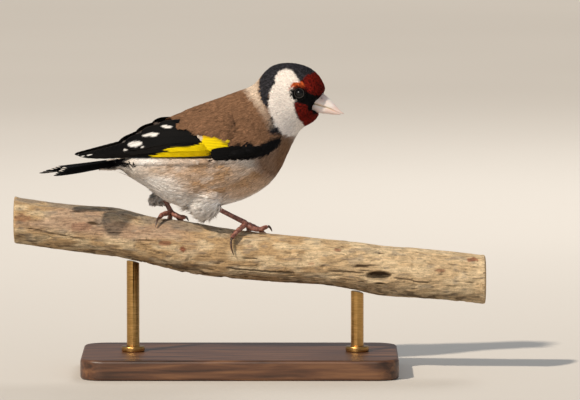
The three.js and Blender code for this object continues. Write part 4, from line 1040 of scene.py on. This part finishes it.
# Colours of one vane by its kind: dark, with pale edges, the yellow band, the wedge and the white spots
def wingInk(kind, flat, grid, centre):
    a, x = grid[:, 0], grid[:, 1]
    own = dice.random()
    ink = np.tile(wingInks["black"] * (1 - own * 0.35) + wingInks["brownBlack"] * own * 0.35, (len(a), 1))

    def lay(key, weight):
        blend(ink, wingInks[key], weight)

    long = kind in ("tertial", "secondary", "primary")
    if long:
        lay("edge", 0.5 * ease((np.abs(x) - 0.9) / 0.08) * ease((a - 0.5) / 0.3))
    if kind in ("secondary", "primary"):
        level = np.clip(centre[:, 1] - 1.5, 86.4, 99)
        band = insideBy(centre[:, 0] + dice.normal(0, 0.7), level, marks["yellow"])
        lay("yellow", ease(band / 0.5 + 0.5) * ease((flat[:, 1] - 85.5) / 0.25))
    if kind == "greater":
        band = insideBy(centre[:, 0], flat[:, 1], marks["yellow"])
        lay("yellow", ease(band / 0.5 + 0.7))
        lay("amber", ease((flat[:, 1] - 92.6) / 1.6) * ease(band / 0.5 + 0.7) * 0.6)
        lay("wedge", ease(insideBy(flat[:, 0], flat[:, 1], marks["wedge"]) / 0.6 + 0.5))
    for spotU, spotZ, halfU, halfZ, slope in wingSpots if long else ():
        past, over = flat[:, 0] - spotU, flat[:, 1] - spotZ
        away = np.hypot(past / halfU, (over - past * slope) / halfZ)
        away = away + 0.12 * np.sin(flat[:, 0] * 1.3 + flat[:, 1] * 2.1)
        lay("white", ease((1.15 - away) / 0.25))
    return ink * (1 - 0.35 * np.exp(-(x / 0.07) ** 2))[:, None]


# How far the tips of the primaries stand off the body behind
def wingLift(u):
    return flight["liftMost"] * ease((flight["liftFrom"] - u) / (flight["liftFrom"] - flight["liftTo"]))


# One object from vanes, each with its points, triangles, colours and places on the vane
def vanePiece(title, parts):
    starts = np.cumsum([0] + [len(part[0]) for part in parts])
    triangles = np.concatenate([facedOut(p, t) + start for (p, t, _, _), start in zip(parts, starts)])
    points, colours, uvs = (np.concatenate([part[i] for part in parts]) for i in (0, 2, 3))
    return meshObject(title, points, triangles, colours, "vane", uvs)


# Vaned flight feather: hard close barbs, satin where they catch the light, lines a third of a mm apart
vanes = newMaterial("flight feather", {"Roughness": 0.62, "Specular IOR Level": 0.06})
vaneMap = addNode(vanes, "ShaderNodeUVMap", {"uv_map": "vane"})
vaneTurn = addNode(vanes, "ShaderNodeMapping", {}, {"Vector": vaneMap.outputs["UV"],
                                                    "Rotation": (0, 0, math.radians(38))})
vaneWave = {"Vector": vaneTurn.outputs["Vector"], "Scale": 0.95, "Distortion": 1.2, "Detail": 2.0}
vaneLines = addNode(vanes, "ShaderNodeTexWave", {"wave_type": "BANDS"}, vaneWave).outputs["Fac"]
wire(vanes, "Base Color", shadedInk(vanes, spread(vanes, vaneLines, 0.85, 1.12)))
relief(vanes, vaneLines, 0.35, 0.0001)

for sideName, side in (("right", 1), ("left", -1)):
    parts = []

    def addVane(kind, root, middle, tip, width, tipRound, rootDepth, tipDepth, camber):
        def place(flat, depth):
            u, z = flat[..., 0], flat[..., 1]
            if kind == "tertial":  # their upper front edge goes in under the mantle
                depth = depth + flight["tuck"] * ease((u + 9.0 + 2.2 * (z - 97.1)) / 6 + 0.2)
            return wingPoint(u, z, depth - wingLift(u), side)

        points, triangles, flat, grid, centre = vaneArrays(
            bend(root, middle, tip), vaneWidth(width, tipRound),
            lambda t: rootDepth + (tipDepth - rootDepth) * ease(t * 2.2), camber, place)
        colours = wingInk(kind, flat, grid, centre)
        reach = math.dist(root, tip)
        uvs = np.stack([grid[:, 1] * width, grid[:, 0] * reach], axis=1)
        parts.append((points, triangles, colours, uvs))

    for layer, (kind, root, middle, tip, width, tipRound) in enumerate(wingList()):
        depth = flight["top"] + layer * flight["layer"]
        addVane(kind, root, middle, tip, width, tipRound, depth, depth, 0.16)
    for k in range(8):  # greater coverts, the lowest first
        addVane("greater", (9, 88.2 + 0.85 * k), (1, 89.2 + 1.08 * k), (-3.9 - 0.9 * k, 89.4 + 1.12 * k),
                2.7, 0.35, 1.1, -0.12 - 0.03 * k, 0.12)
    for k in range(6):  # primary coverts
        tip = (-2.7 + 0.1 * (k - 2) ** 2, 88.4 - 0.62 * k)
        addVane("black", (16, 89.2 - 0.35 * k), (7, 88.6 - 0.45 * k), tip,
                2.4, 0.3, 0.2, -0.55 - 0.04 * k, 0.14)
    for k in range(3):  # alula
        addVane("black", (21, 89.4 - 0.5 * k), (14, 88.4 - 0.6 * k), (6.5 - 1.2 * k, 87.6 - 0.7 * k),
                2.4, 0.3, 0.3, -1.05 - 0.1 * k, 0.14)
    flightFeathers = vanePiece("flight_feathers_" + sideName, parts)
    finishPiece(flightFeathers, vanes, "plumage_flight", "wing_" + sideName)

# Tail: twelve feathers, black with pale tips
tailSizes = {"rootU": -36, "topZ": 84.4, "slope": 0.08, "turn": math.radians(16), "roll": math.radians(0.5),
             "length": 25.2, "forkStep": 1.15, "layer": 0.41, "paleTip": "#ded8d0"}


# A place on the tail from its distance along and across it; the tail turns and rolls a little
def tailPoint(along, across, height):
    c, s = math.cos(tailSizes["turn"]), math.sin(tailSizes["turn"])
    return fromBody(tailSizes["rootU"] - along * c - across * s, across * c - along * s,
                    height + across * math.sin(tailSizes["roll"]))


parts = []
for side in (-1, 1):
    for k in range(6):
        length = tailSizes["length"] + k * tailSizes["forkStep"]

        def path(t, k=k, side=side, length=length):
            along = t * length
            opened = ease(along / 26)
            near = 0.2 + 0.1 * k + (0.58 * k) * opened
            far = 2.2 + 0.15 * k + (2.7 + 0.53 * k) * opened
            return np.stack([along, (near + far) / 2 * side], axis=-1)

        def place(flat, depth, k=k):
            height = tailSizes["topZ"] - k * tailSizes["layer"] - flat[..., 0] * tailSizes["slope"] - depth
            return tailPoint(flat[..., 0], flat[..., 1], height)

        def tailWidth(t):
            return (2.0 + 2.7 * ease(t * length / 26)) * vaneWidth(1.0, 0.10, 1.0)(t)

        points, triangles, flat, grid, centre = vaneArrays(path, tailWidth, lambda t: 0.0 * t, 0.18, place)
        colours = wingInk("tail", flat, grid, centre)
        inner = ease((-grid[:, 1] * side + 0.2) / 0.4) if k > 2 else np.ones(len(grid))
        spot = ease((grid[:, 0] - (0.965 if k < 3 else 0.82)) / 0.02) * inner * 0.85
        if k > 2:
            spot = spot * (1 - 0.9 * ease((grid[:, 0] - 0.93) / 0.02)) * (k > 3)
        blend(colours, rgb(tailSizes["paleTip"]), spot)
        uvs = np.stack([grid[:, 1] * 4.5, grid[:, 0] * length], axis=1)
        parts.append((points, triangles, colours, uvs))
finishPiece(vanePiece("tail_feathers", parts), vanes, "plumage_flight", "tail")
print("feathers ready")


# Turned form: a profile of radius and height spun about the height's axis
def turned(profile, steps=72):
    profile = np.array(profile, float)
    angles = np.linspace(0, 2 * math.pi, steps, endpoint=False)
    rings = [np.stack([r * np.cos(angles), r * np.sin(angles), np.full(steps, h)], axis=1)
             for r, h in profile]
    points = np.concatenate(rings)
    return points, tubeTriangles(len(profile), steps)


# Eye: dark brown ball under a wet cornea, in a thin grey rim of lid with dark bare skin around it
eyeGlass = newMaterial("dark brown iris under a wet cornea", {"Roughness": 0.03, "Specular IOR Level": 0.3})
wire(eyeGlass, "Base Color", ramp(eyeGlass, grain(eyeGlass, 1800.0), (0.35, "#030202"), (0.75, "#0e0705")))
lidSkin = newMaterial("bare lid skin", {"Roughness": 0.6, "Specular IOR Level": 0.3})
wire(lidSkin, "Base Color", shadedInk(lidSkin, spread(lidSkin, grain(lidSkin, 3500.0), 0.5, 1.5)))
eyeForm = {"corneaRadius": 2.3, "corneaCentre": 1.05, "rim": 0.13, "lidOuter": 3.1, "turn": math.radians(6),
           "skin": "#0f0c0b", "edge": "#4d4643"}
corneaEdge = math.asin(eyes["opening"] / eyeForm["corneaRadius"])
cornea = [(eyeForm["corneaRadius"] * math.sin(t),
           eyeForm["corneaCentre"] + eyeForm["corneaRadius"] * math.cos(t))
          for t in np.linspace(0.003, corneaEdge, 18)]
ball = [(eyes["radius"] * math.sin(t), eyes["radius"] * math.cos(t))
        for t in np.linspace(0.62, math.pi - 0.003, 30)]
rimAt = eyes["opening"]
rimLow = eyeForm["corneaCentre"] + eyeForm["corneaRadius"] * math.cos(corneaEdge)
lidProfile = [(rimAt - 0.06, rimLow - 0.25), (rimAt - 0.05, rimLow + 0.02)]
lidProfile += [(rimAt + 0.08 - 0.12 * math.cos(t), rimLow + 0.06 + eyeForm["rim"] * math.sin(t))
               for t in np.linspace(0.2, math.pi, 9)]
lidProfile += [(rimAt + 0.26, rimLow - 0.06), (rimAt + 0.42, rimLow - 0.26), (2.5, rimLow - 0.66),
               (eyeForm["lidOuter"], rimLow - 1.0), (eyeForm["lidOuter"], rimLow - 1.3),
               (rimAt + 0.1, rimLow - 0.8), (rimAt - 0.06, rimLow - 0.25)]
for sideName, side in (("right", 1), ("left", -1)):
    turn = bird["headYaw"] + eyeForm["turn"] * side
    centre = fromHead(eyes["u"], -eyes["v"] * side, eyes["z"])
    ahead = np.array([math.cos(turn), math.sin(turn), 0.0])
    out = np.array([math.sin(turn), -math.cos(turn), 0.0]) * side
    axes = np.stack([ahead, [0, 0, 1.0], out])
    for title, profile, material, slot in (("eyeball_", cornea + ball, eyeGlass, "eye_glass"),
                                           ("lid_", lidProfile, lidSkin, "plumage_head")):
        points, triangles = turned(profile)
        reach = np.hypot(points[:, 0], points[:, 1])
        placed = centre + points @ axes
        grey = np.exp(-((reach - rimAt - 0.06) / 0.07) ** 2)[:, None] * (points[:, 2:3] > rimLow - 0.1)
        tint = rgb(eyeForm["skin"]) * (1 - grey) + rgb(eyeForm["edge"]) * grey
        triangles = facedOut(placed - placed.mean(axis=0), triangles)
        piece = meshObject(title + sideName, placed, triangles, tint)
        finishPiece(piece, material, slot, *(["eye_" + sideName] if title == "eyeball_" else []))

# Bill: two halves of horn, pinkish ivory, dusky along the ridge and at the tip
horn = newMaterial("ivory bill horn", {"Roughness": 0.34, "Specular IOR Level": 0.5,
                                       "Subsurface Weight": 0.15, "Subsurface Scale": 0.001,
                                       "Subsurface Radius": (1.0, 0.6, 0.4)})
hornGrain = grain(horn, 1.0, (250, 900, 900), Detail=6.0)
wire(horn, "Base Color", shadedInk(horn, spread(horn, hornGrain, 0.9, 1.08)))
relief(horn, hornGrain, 0.15, 0.0002)
billInks = {"ivory": "#efe4de", "pink": "#e2c4ba", "straw": "#e6d2a2", "dusk": "#75574b"}
# Stations from the base to the tip: top u and z, bottom u and z, half width
billStations = {
    "bill_upper": [(42.6, 110.6, 41.6, 105.4, 3.2), (44.6, 110.2, 43.4, 105.1, 3.3),
                   (46.6, 109.2, 45.4, 104.6, 3.0), (48.4, 107.8, 47.3, 104.0, 2.45),
                   (50.3, 105.9, 49.5, 103.2, 1.8), (52.1, 104.0, 51.6, 102.3, 1.15),
                   (53.7, 102.4, 53.4, 101.6, 0.55), (54.8, 101.5, 54.7, 101.2, 0.12)],
    "bill_lower": [(41.4, 105.9, 40.6, 102.4, 2.9), (43.3, 105.6, 42.8, 102.0, 2.98),
                   (45.3, 105.1, 45.0, 101.6, 2.72), (47.2, 104.5, 47.0, 101.3, 2.18),
                   (49.4, 103.7, 49.2, 101.1, 1.58), (51.5, 102.7, 51.4, 101.0, 0.94),
                   (53.6, 101.8, 53.5, 101.05, 0.32)],
}
for name, flat in (("bill_upper", 0.22), ("bill_lower", 0.72)):
    top = name == "bill_upper"
    stations = np.array(billStations[name])
    spots = np.arange(len(stations), dtype=float)
    at = np.linspace(0, len(stations) - 1, 56)
    topU, topZ, lowU, lowZ, half = (smoothRead(spots, stations[:, i], at)[:, None] for i in range(5))
    angles = np.linspace(0, 2 * math.pi, 44, endpoint=False)[None, :]
    rise, across = np.sin(angles), np.cos(angles)
    midU, midZ = lowU + (topU - lowU) * flat, lowZ + (topZ - lowZ) * flat
    upper = rise >= 0
    height = np.abs(rise) ** (0.9 if top else 0.75)
    ringU = midU + (np.where(upper, topU, lowU) - midU) * height
    ringZ = midZ + (np.where(upper, topZ, lowZ) - midZ) * height
    keel = 1 - 0.16 * ease((np.abs(rise) - 0.4) / 0.6) * upper  # the ridge is a little keeled
    wide = np.maximum(half, 0.02) * across * keel
    points = fromHead(ringU.ravel(), wide.ravel(), ringZ.ravel())
    count = angles.size
    ends = fromHead(np.array([midU[0, 0], midU[-1, 0]]), np.zeros(2), np.array([midZ[0, 0], midZ[-1, 0]]))
    last = len(points) - count
    ring = np.arange(count)
    after, baseEnd, tipEnd = np.roll(ring, -1), np.full(count, len(points)), np.full(count, len(points) + 1)
    caps = np.concatenate([np.stack([after, ring, baseEnd], axis=1),
                           np.stack([ring + last, after + last, tipEnd], axis=1)])
    points = np.concatenate([points, ends])
    triangles = np.concatenate([tubeTriangles(len(at), count), caps])
    triangles = facedOut(points - points.mean(axis=0), triangles)
    pu, _, pz = toHead(points)
    if top:  # nostril slit
        nostril = 1 - ease((np.hypot((pu - 46.2) / 0.6, (pz - 107.7) / 0.3) - 0.5) / 0.7)
        points = points - pointNormals(points, triangles) * (0.35 * nostril)[:, None]
    mouth = np.interp(pu, *(stations[:, [2, 3]] if top else stations[:, [0, 1]]).T)
    ridgeZ = np.interp(pu, [42, 46.6, 50.3, 54.8], [110.6, 109.2, 105.9, 101.5])
    colour = np.tile(rgb(billInks["ivory"]), (len(points), 1))
    for key, weight in (
            ("pink", 0.7 * ease((lumpNoise(points, 2.2, 8) - 0.3) * 2)),
            ("straw", 0.8 * ease(1 - np.abs(pz - mouth) / 0.8) * ease((52 - pu) / 3)),
            ("dusk", 0.35 * ease(1 - (ridgeZ - pz) / 0.5) * ease((50 - pu) / 3)),
            ("dusk", 0.4 * ease((pu - 53.2) / 1.6)),
            # A thin dark line along the upper half's lower edge: painted shade where it closes over the lower
            # half
            ("dusk", 0.5 * ease(1 - np.abs(pz - mouth) / 0.10) * top)):
        blend(colour, rgb(billInks[key]), weight)
    # The nostril slit is painted darker: painted shade in the slit
    if top:
        colour = colour * (1 - 0.55 * nostril)[:, None]
    billHalf = meshObject(name + "_horn", points, triangles, colour)
    finishPiece(billHalf, horn, "bill_horn", name)

# Legs: scaly skin in plates across the front, claws of dark horn
scaly = newMaterial("scaly leg skin", {"Roughness": 0.5, "Specular IOR Level": 0.45,
                                       "Subsurface Weight": 0.08, "Subsurface Scale": 0.001})
scalyGrain = grain(scaly, 900.0, Detail=5.0)
scalyTint = ramp(scaly, scalyGrain, (0.32, "#5c352b"), (0.55, "#8f5c4e"), (0.75, "#b08476"))
scalyMix = addNode(scaly, "ShaderNodeMix", {"data_type": "RGBA", "blend_type": "MULTIPLY"},
                   {0: 1.0, 6: scalyTint, 7: pointInk(scaly)})
wire(scaly, "Base Color", scalyMix.outputs[2])
clawHorn = newMaterial("dark claw horn", {"Roughness": 0.3, "Specular IOR Level": 0.5})
wire(clawHorn, "Base Color", ramp(clawHorn, grain(clawHorn, 700.0), (0.3, "#1f120c"), (0.7, "#5a3c2c")))
scutes = {"spacing": 0.85, "rise": 0.07, "voxel": 0.14, "clawVoxel": 0.12, "knuckle": 2.7, "fuller": 0.1}
for sideName in ("right", "left"):
    for part in ("tarsus", "toe_1", "toe_2", "toe_3", "toe_4"):
        name = part + "_" + sideName
        limb = copyNodes(name + "_skin", [name])
        applyModifier(limb, "REMESH", mode="VOXEL", voxel_size=scutes["voxel"] * mm)
        applyModifier(limb, "SMOOTH", factor=0.5, iterations=4)
        points = pointsOf(limb)
        normals = pointNormals(points, trianglesOf(limb))
        centre = points.mean(axis=0)
        axis = np.linalg.svd(points - centre, full_matrices=False)[2][0]
        along = (points - centre) @ axis / scutes["spacing"]
        saw = along - np.floor(along)
        plate = ease(saw * 4) * (1 - 0.55 * saw)
        knuckle = 0.5 + 0.5 * np.cos((points - centre) @ axis * 2 * math.pi / scutes["knuckle"])
        fuller = (scutes["fuller"] + 0.12 * knuckle) * part.startswith("toe")
        points = points + normals * ((plate - 0.55) * scutes["rise"] + fuller)[:, None]
        setPoints(limb, points)
        paintPoints(limb, np.repeat((0.62 + 0.38 * ease(saw * 5))[:, None], 3, axis=1))
        shadeSmooth(limb)
        finishPiece(limb, scaly, "leg_skin", name)
    for number in (1, 2, 3, 4):
        name = "claw_%d_%s" % (number, sideName)
        claw = copyNodes(name + "_horn", [name])
        applyModifier(claw, "REMESH", mode="VOXEL", voxel_size=scutes["clawVoxel"] * mm)
        applyModifier(claw, "SMOOTH", factor=0.5, iterations=3)
        shadeSmooth(claw)
        finishPiece(claw, clawHorn, "claw_horn", name)

# Perch: barkless weathered branch with short fibres, an eye-shaped knot hole with checks, scars and a stub
perchForm = {
    "voxel": 0.96, "x": [-88.6, -70.6, -51.7, -35.3, -21.2, -7.1, 7.1, 23.5, 42.3, 54.9, 70.6, 83.1, 96.4],
    "z": [59.9, 57.5, 55.2, 51.9, 49.2, 46.9, 45.4, 44.2, 42.2, 40.1, 38.7, 37.7, 36.4],
    "knot": (54.3, 38.6), "knotHalf": (5.4, 2.1), "stub": (-50.5, -6.5, 61.3),
    "stubReach": (3.4, 2.4, 1.8), "reliefMost": 1.1, "reliefBase": 0.3,
    "checks": [((49.6, 39.6), (44.0, 40.3), (33.7, 40.3)), ((59.2, 38.3), (64.5, 37.0), (75.0, 35.6)),
               ((-6.0, 41.5), (8.0, 40.2), (22.0, 39.4)), ((-84.0, 57.5), (-70.0, 54.5), (-60.0, 52.6))],
    # x, z, half length, half height, strength
    "scars": [(90.6, 45.0, 2.4, 0.9, 0.8), (38.4, 48.9, 1.6, 0.6, 0.7), (-29.0, 51.5, 3.0, 1.2, 0.7),
              (-22.3, 49.3, 1.4, 1.2, 0.9), (-85.0, 61.5, 4.0, 1.6, 0.5), (28.0, 43.5, 1.3, 0.7, 0.5),
              (78.0, 41.0, 2.2, 0.8, 0.6), (4.0, 50.5, 1.2, 0.7, 0.4), (-62.0, 58.0, 5.0, 2.0, 0.35)],
}
perchInks = {key: rgb(code) for key, code in (
    ("tan", "#c4a47a"), ("pale", "#e2c9a2"), ("pink", "#b89a84"), ("grey", "#8f867b"), ("dark", "#4a3826"),
    ("scar", "#8a4f38"), ("end", "#d2b384"), ("heart", "#8c6a47"))}
perch = copyNodes("perch_wood", ["perch"])
applyModifier(perch, "REMESH", mode="VOXEL", voxel_size=perchForm["voxel"] * mm)
applyModifier(perch, "SMOOTH", factor=0.5, iterations=6)
applyModifier(perch, "SUBSURF", levels=1, render_levels=1)
points = pointsOf(perch)
normals = pointNormals(points, trianglesOf(perch))
px, py, pz = points.T
axisZ = np.interp(px, perchForm["x"], perchForm["z"])
lengthwise = ease((px - px.min()) / 3) * ease((px.max() - px) / 3)
sawn = ease((np.abs(normals[:, 0]) - 0.6) / 0.25)
front = ease(-normals[:, 1] / 0.3)
(knotX, knotZ), (knotHalfX, knotHalfZ) = perchForm["knot"], perchForm["knotHalf"]
around = np.hypot((px - knotX) / knotHalfX, (pz - knotZ) / knotHalfZ)
pit = ease((1.05 - around) / 0.35) * front
lip = np.exp(-((around - 1.35) / 0.3) ** 2) * front
check = np.zeros(len(points))
for a, b, c in perchForm["checks"]:
    path = bend(a, b, c)(np.linspace(0, 1, 40))
    lineZ = np.interp(px, np.sort(path[:, 0]), path[np.argsort(path[:, 0]), 1])
    within = ease((px - path[:, 0].min()) / 2) * ease((path[:, 0].max() - px) / 2)
    waver = 0.5 * (lumpNoise(points, 1.5, 31) - 0.5)
    check = np.maximum(check, np.exp(-((pz - lineZ + waver) / 0.30) ** 2) * within * front)
fine = lumpNoise(points, (7, 0.8, 0.8), 24)
check = np.maximum(check, ease((fine - 0.80) * 9) * ease((lumpNoise(points, (20, 6, 6), 25) - 0.45) * 6))
worm = lumpNoise(points, (2.6, 0.9, 0.9), 21) - 0.5
swell = lumpNoise(points, (13, 6, 6), 22) - 0.5
chip = ease((lumpNoise(points, (4.0, 1.9, 1.9), 23) - 0.66) * 7)
stubAway = (points - np.array(perchForm["stub"])) / np.array(perchForm["stubReach"])
stub = np.exp(-np.sum(stubAway ** 2, axis=1)) * (0.5 + lumpNoise(points, 1.0, 33))
low = ease((axisZ - 4.0 - pz) / 5)
rot = low * ease((lumpNoise(points, (3.0, 1.6, 1.6), 34) - 0.55) * 8)
move = 0.22 * worm + 0.9 * swell + 0.5 * lip + 1.4 * stub
move = move - 0.35 * chip - 0.55 * check - 1.9 * pit - 0.35 * rot
move = np.minimum(move, perchForm["reliefMost"]) - perchForm["reliefBase"]
points = points + normals * (move * lengthwise * (1 - sawn))[:, None]
setPoints(perch, points)
colour = np.tile(perchInks["tan"], (len(points), 1))


# Lays one of the perch's inks over the whole perch by weight, for its stains and for painted shade
def stainAndShade(key, weight):
    blend(colour, perchInks[key], weight)


# Patches of noise drawn out along the branch, from a level up
def patches(size, seed, level, sharpness):
    return ease((lumpNoise(points, size, seed) - level) * sharpness)


stainAndShade("pale", patches((6, 2.2, 2.2), 41, 0.35, 2.6))
stainAndShade("pale", 0.5 * ease((px - 20) / 30))
stainAndShade("pink", 0.75 * patches((18, 6, 6), 42, 0.3, 2.5) * ease((-10 - px) / 20) * ease((pz - axisZ + 4) / 5))
greyTop = pz - axisZ - 7.0 + 6 * (lumpNoise(points, (6, 2, 2), 43) - 0.5)
stainAndShade("grey", 0.65 * ease(greyTop / 2.5) * ease((30 - px) / 60))
stainAndShade("grey", 0.45 * patches((3.4, 1.2, 1.2), 44, 0.66, 6))
for scarX, scarZ, halfX, halfZ, strength in perchForm["scars"]:
    ragged = np.hypot((px - scarX) / halfX, (pz - scarZ) / halfZ) + 0.9 * (lumpNoise(points, 0.9, 45) - 0.5)
    stainAndShade("scar", strength * ease((1.1 - ragged) / 0.4) * front)
stainAndShade("dark", 0.6 * patches((1.6, 0.6, 0.6), 46, 0.80, 8))
# The lower side is painted darker in patches: painted shade under the branch, with dark patches in it
stainAndShade("dark", low * (0.25 + 0.75 * patches((2.6, 1.0, 1.0), 47, 0.5, 5)) * 0.8)
# The checks are painted dark: painted shade in the cracks
stainAndShade("dark", check * 0.95)
# The knot hole is painted dark, darkest in its upper half: painted shade inside the hole, deepest under its
# upper rim
stainAndShade("dark", pit * (0.7 + 0.3 * (pz > knotZ)))
stainAndShade("end", sawn)
fromPith = np.hypot(py, pz - axisZ)
rings = 0.5 + 0.5 * np.sin(fromPith * 7.0 + 2.0 * lumpNoise(points, 3.0, 48))
stainAndShade("heart", sawn * (0.15 + 0.45 * rings ** 2 + 0.5 * ease((2.0 - fromPith) / 1.5)))
paintPoints(perch, colour)
shadeSmooth(perch)
# Dry barkless wood: matt, with short streaks of fibre that catch the light on their edges
dryWood = newMaterial("weathered branch wood", {"Roughness": 0.88, "Specular IOR Level": 0.2})
dryStreak = grain(dryWood, 1.0, (260, 1300, 1300), Detail=8.0, Roughness=0.7)
dryFleck = grain(dryWood, 1500.0, Detail=3.0)
dryShare = product(dryWood, spread(dryWood, dryStreak, 0.52, 1.32, 0.34, 0.66),
                   spread(dryWood, dryFleck, 0.72, 1.0, 0.3, 0.45))
wire(dryWood, "Base Color", shadedInk(dryWood, dryShare))
relief(dryWood, dryShare, 0.9, 0.0005)
finishPiece(perch, dryWood, "bare_wood", "perch")

# Stand: walnut plate and brass rods with collars
stand = {"cornerRadius": 9, "edgeRound": 1.2, "socketMiddle": 4.7, "socketGap": 0.3, "collarGap": 0.05}
baseLow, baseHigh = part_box("stand_base")
bpy.ops.mesh.primitive_cube_add(size=1, location=(0, 0, 0))
base = bpy.context.object
base.name = "base_plate"
base.dimensions = baseHigh - baseLow
base.location = (baseHigh + baseLow) / 2
bpy.ops.object.transform_apply(location=True, rotation=True, scale=True)
bpy.ops.object.mode_set(mode="EDIT")
bpy.ops.mesh.select_mode(type="EDGE")
bpy.ops.mesh.select_all(action="DESELECT")
bpy.ops.object.mode_set(mode="OBJECT")
for edge in base.data.edges:
    ends = [base.data.vertices[i].co for i in edge.vertices]
    edge.select = abs(ends[0].z - ends[1].z) > 1e-4
bpy.ops.object.mode_set(mode="EDIT")
bpy.ops.mesh.bevel(offset=stand["cornerRadius"] * mm, segments=10)
bpy.ops.object.mode_set(mode="OBJECT")
applyModifier(base, "BEVEL", width=stand["edgeRound"] * mm, segments=4, limit_method="ANGLE",
              angle_limit=math.radians(60))
# Oiled walnut: an even low gloss over long dark and light grain
walnut = newMaterial("oiled walnut", {"Roughness": 0.42, "Specular IOR Level": 0.45})
walnutGrain = grain(walnut, 1.0, (35, 420, 420), Detail=8.0, Distortion=0.4)
wire(walnut, "Base Color", ramp(walnut, walnutGrain, (0.3, "#2e1c12"), (0.52, "#5a3a26"), (0.72, "#7b5537")))
relief(walnut, walnutGrain, 0.12, 0.0003)
# Brushed brass: warm metal, soft streaks around the rod
brass = newMaterial("brushed brass", {"Metallic": 1.0, "Roughness": 0.3})
brassGrain = grain(brass, 1.0, (300, 300, 4000))
wire(brass, "Base Color", ramp(brass, brassGrain, (0.3, "#a07a45"), (0.7, "#c79d61")))
wire(brass, "Roughness", spread(brass, brassGrain, 0.22, 0.42))
collar = {"height": 2.2, "radius": 4.6, "lip": 0.5, "lift": 0.02}
roundedTo = 35  # faces that meet at less than this many degrees shade as one


def cylinder(title, radius, depth, x, z, sides=48):
    bpy.ops.mesh.primitive_cylinder_add(vertices=sides, radius=radius, depth=depth, location=(x, 0, z))
    bpy.context.object.name = title
    return bpy.context.object


def drill(obj, radius, x, z):
    tool = cylinder("drill", radius, 10 * mm, x, z)
    applyModifier(obj, "BOOLEAN", object=tool, operation="DIFFERENCE", solver="EXACT")
    bpy.data.objects.remove(tool)


for end in ("rear", "front"):
    low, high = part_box("stand_rod_" + end)
    x, radius = (low.x + high.x) / 2, (high.x - low.x) / 2
    drill(base, radius + stand["socketGap"] * mm, x, low.z + stand["socketMiddle"] * mm)
    rod = copyNodes("brass_rod_" + end, ["stand_rod_" + end])
    shadeSmooth(rod, roundedTo)
    finishPiece(rod, brass, "stand_brass", "stand_rod_" + end)
    ferrule = cylinder("brass_collar_" + end, collar["radius"] * mm, collar["height"] * mm, x,
                       baseHigh.z + (collar["height"] / 2 + collar["lift"]) * mm, 64)
    bpy.ops.object.transform_apply(location=True, rotation=True, scale=True)
    drill(ferrule, radius + stand["collarGap"] * mm, x, baseHigh.z)
    applyModifier(ferrule, "BEVEL", width=collar["lip"] * mm, segments=4, limit_method="ANGLE")
    shadeSmooth(ferrule, roundedTo)
    finishPiece(ferrule, brass, "stand_brass")
shadeSmooth(base, 50)
applyModifier(base, "WEIGHTED_NORMAL", keep_sharp=True, weight=100)
finishPiece(base, walnut, "stand_wood", "stand_base")
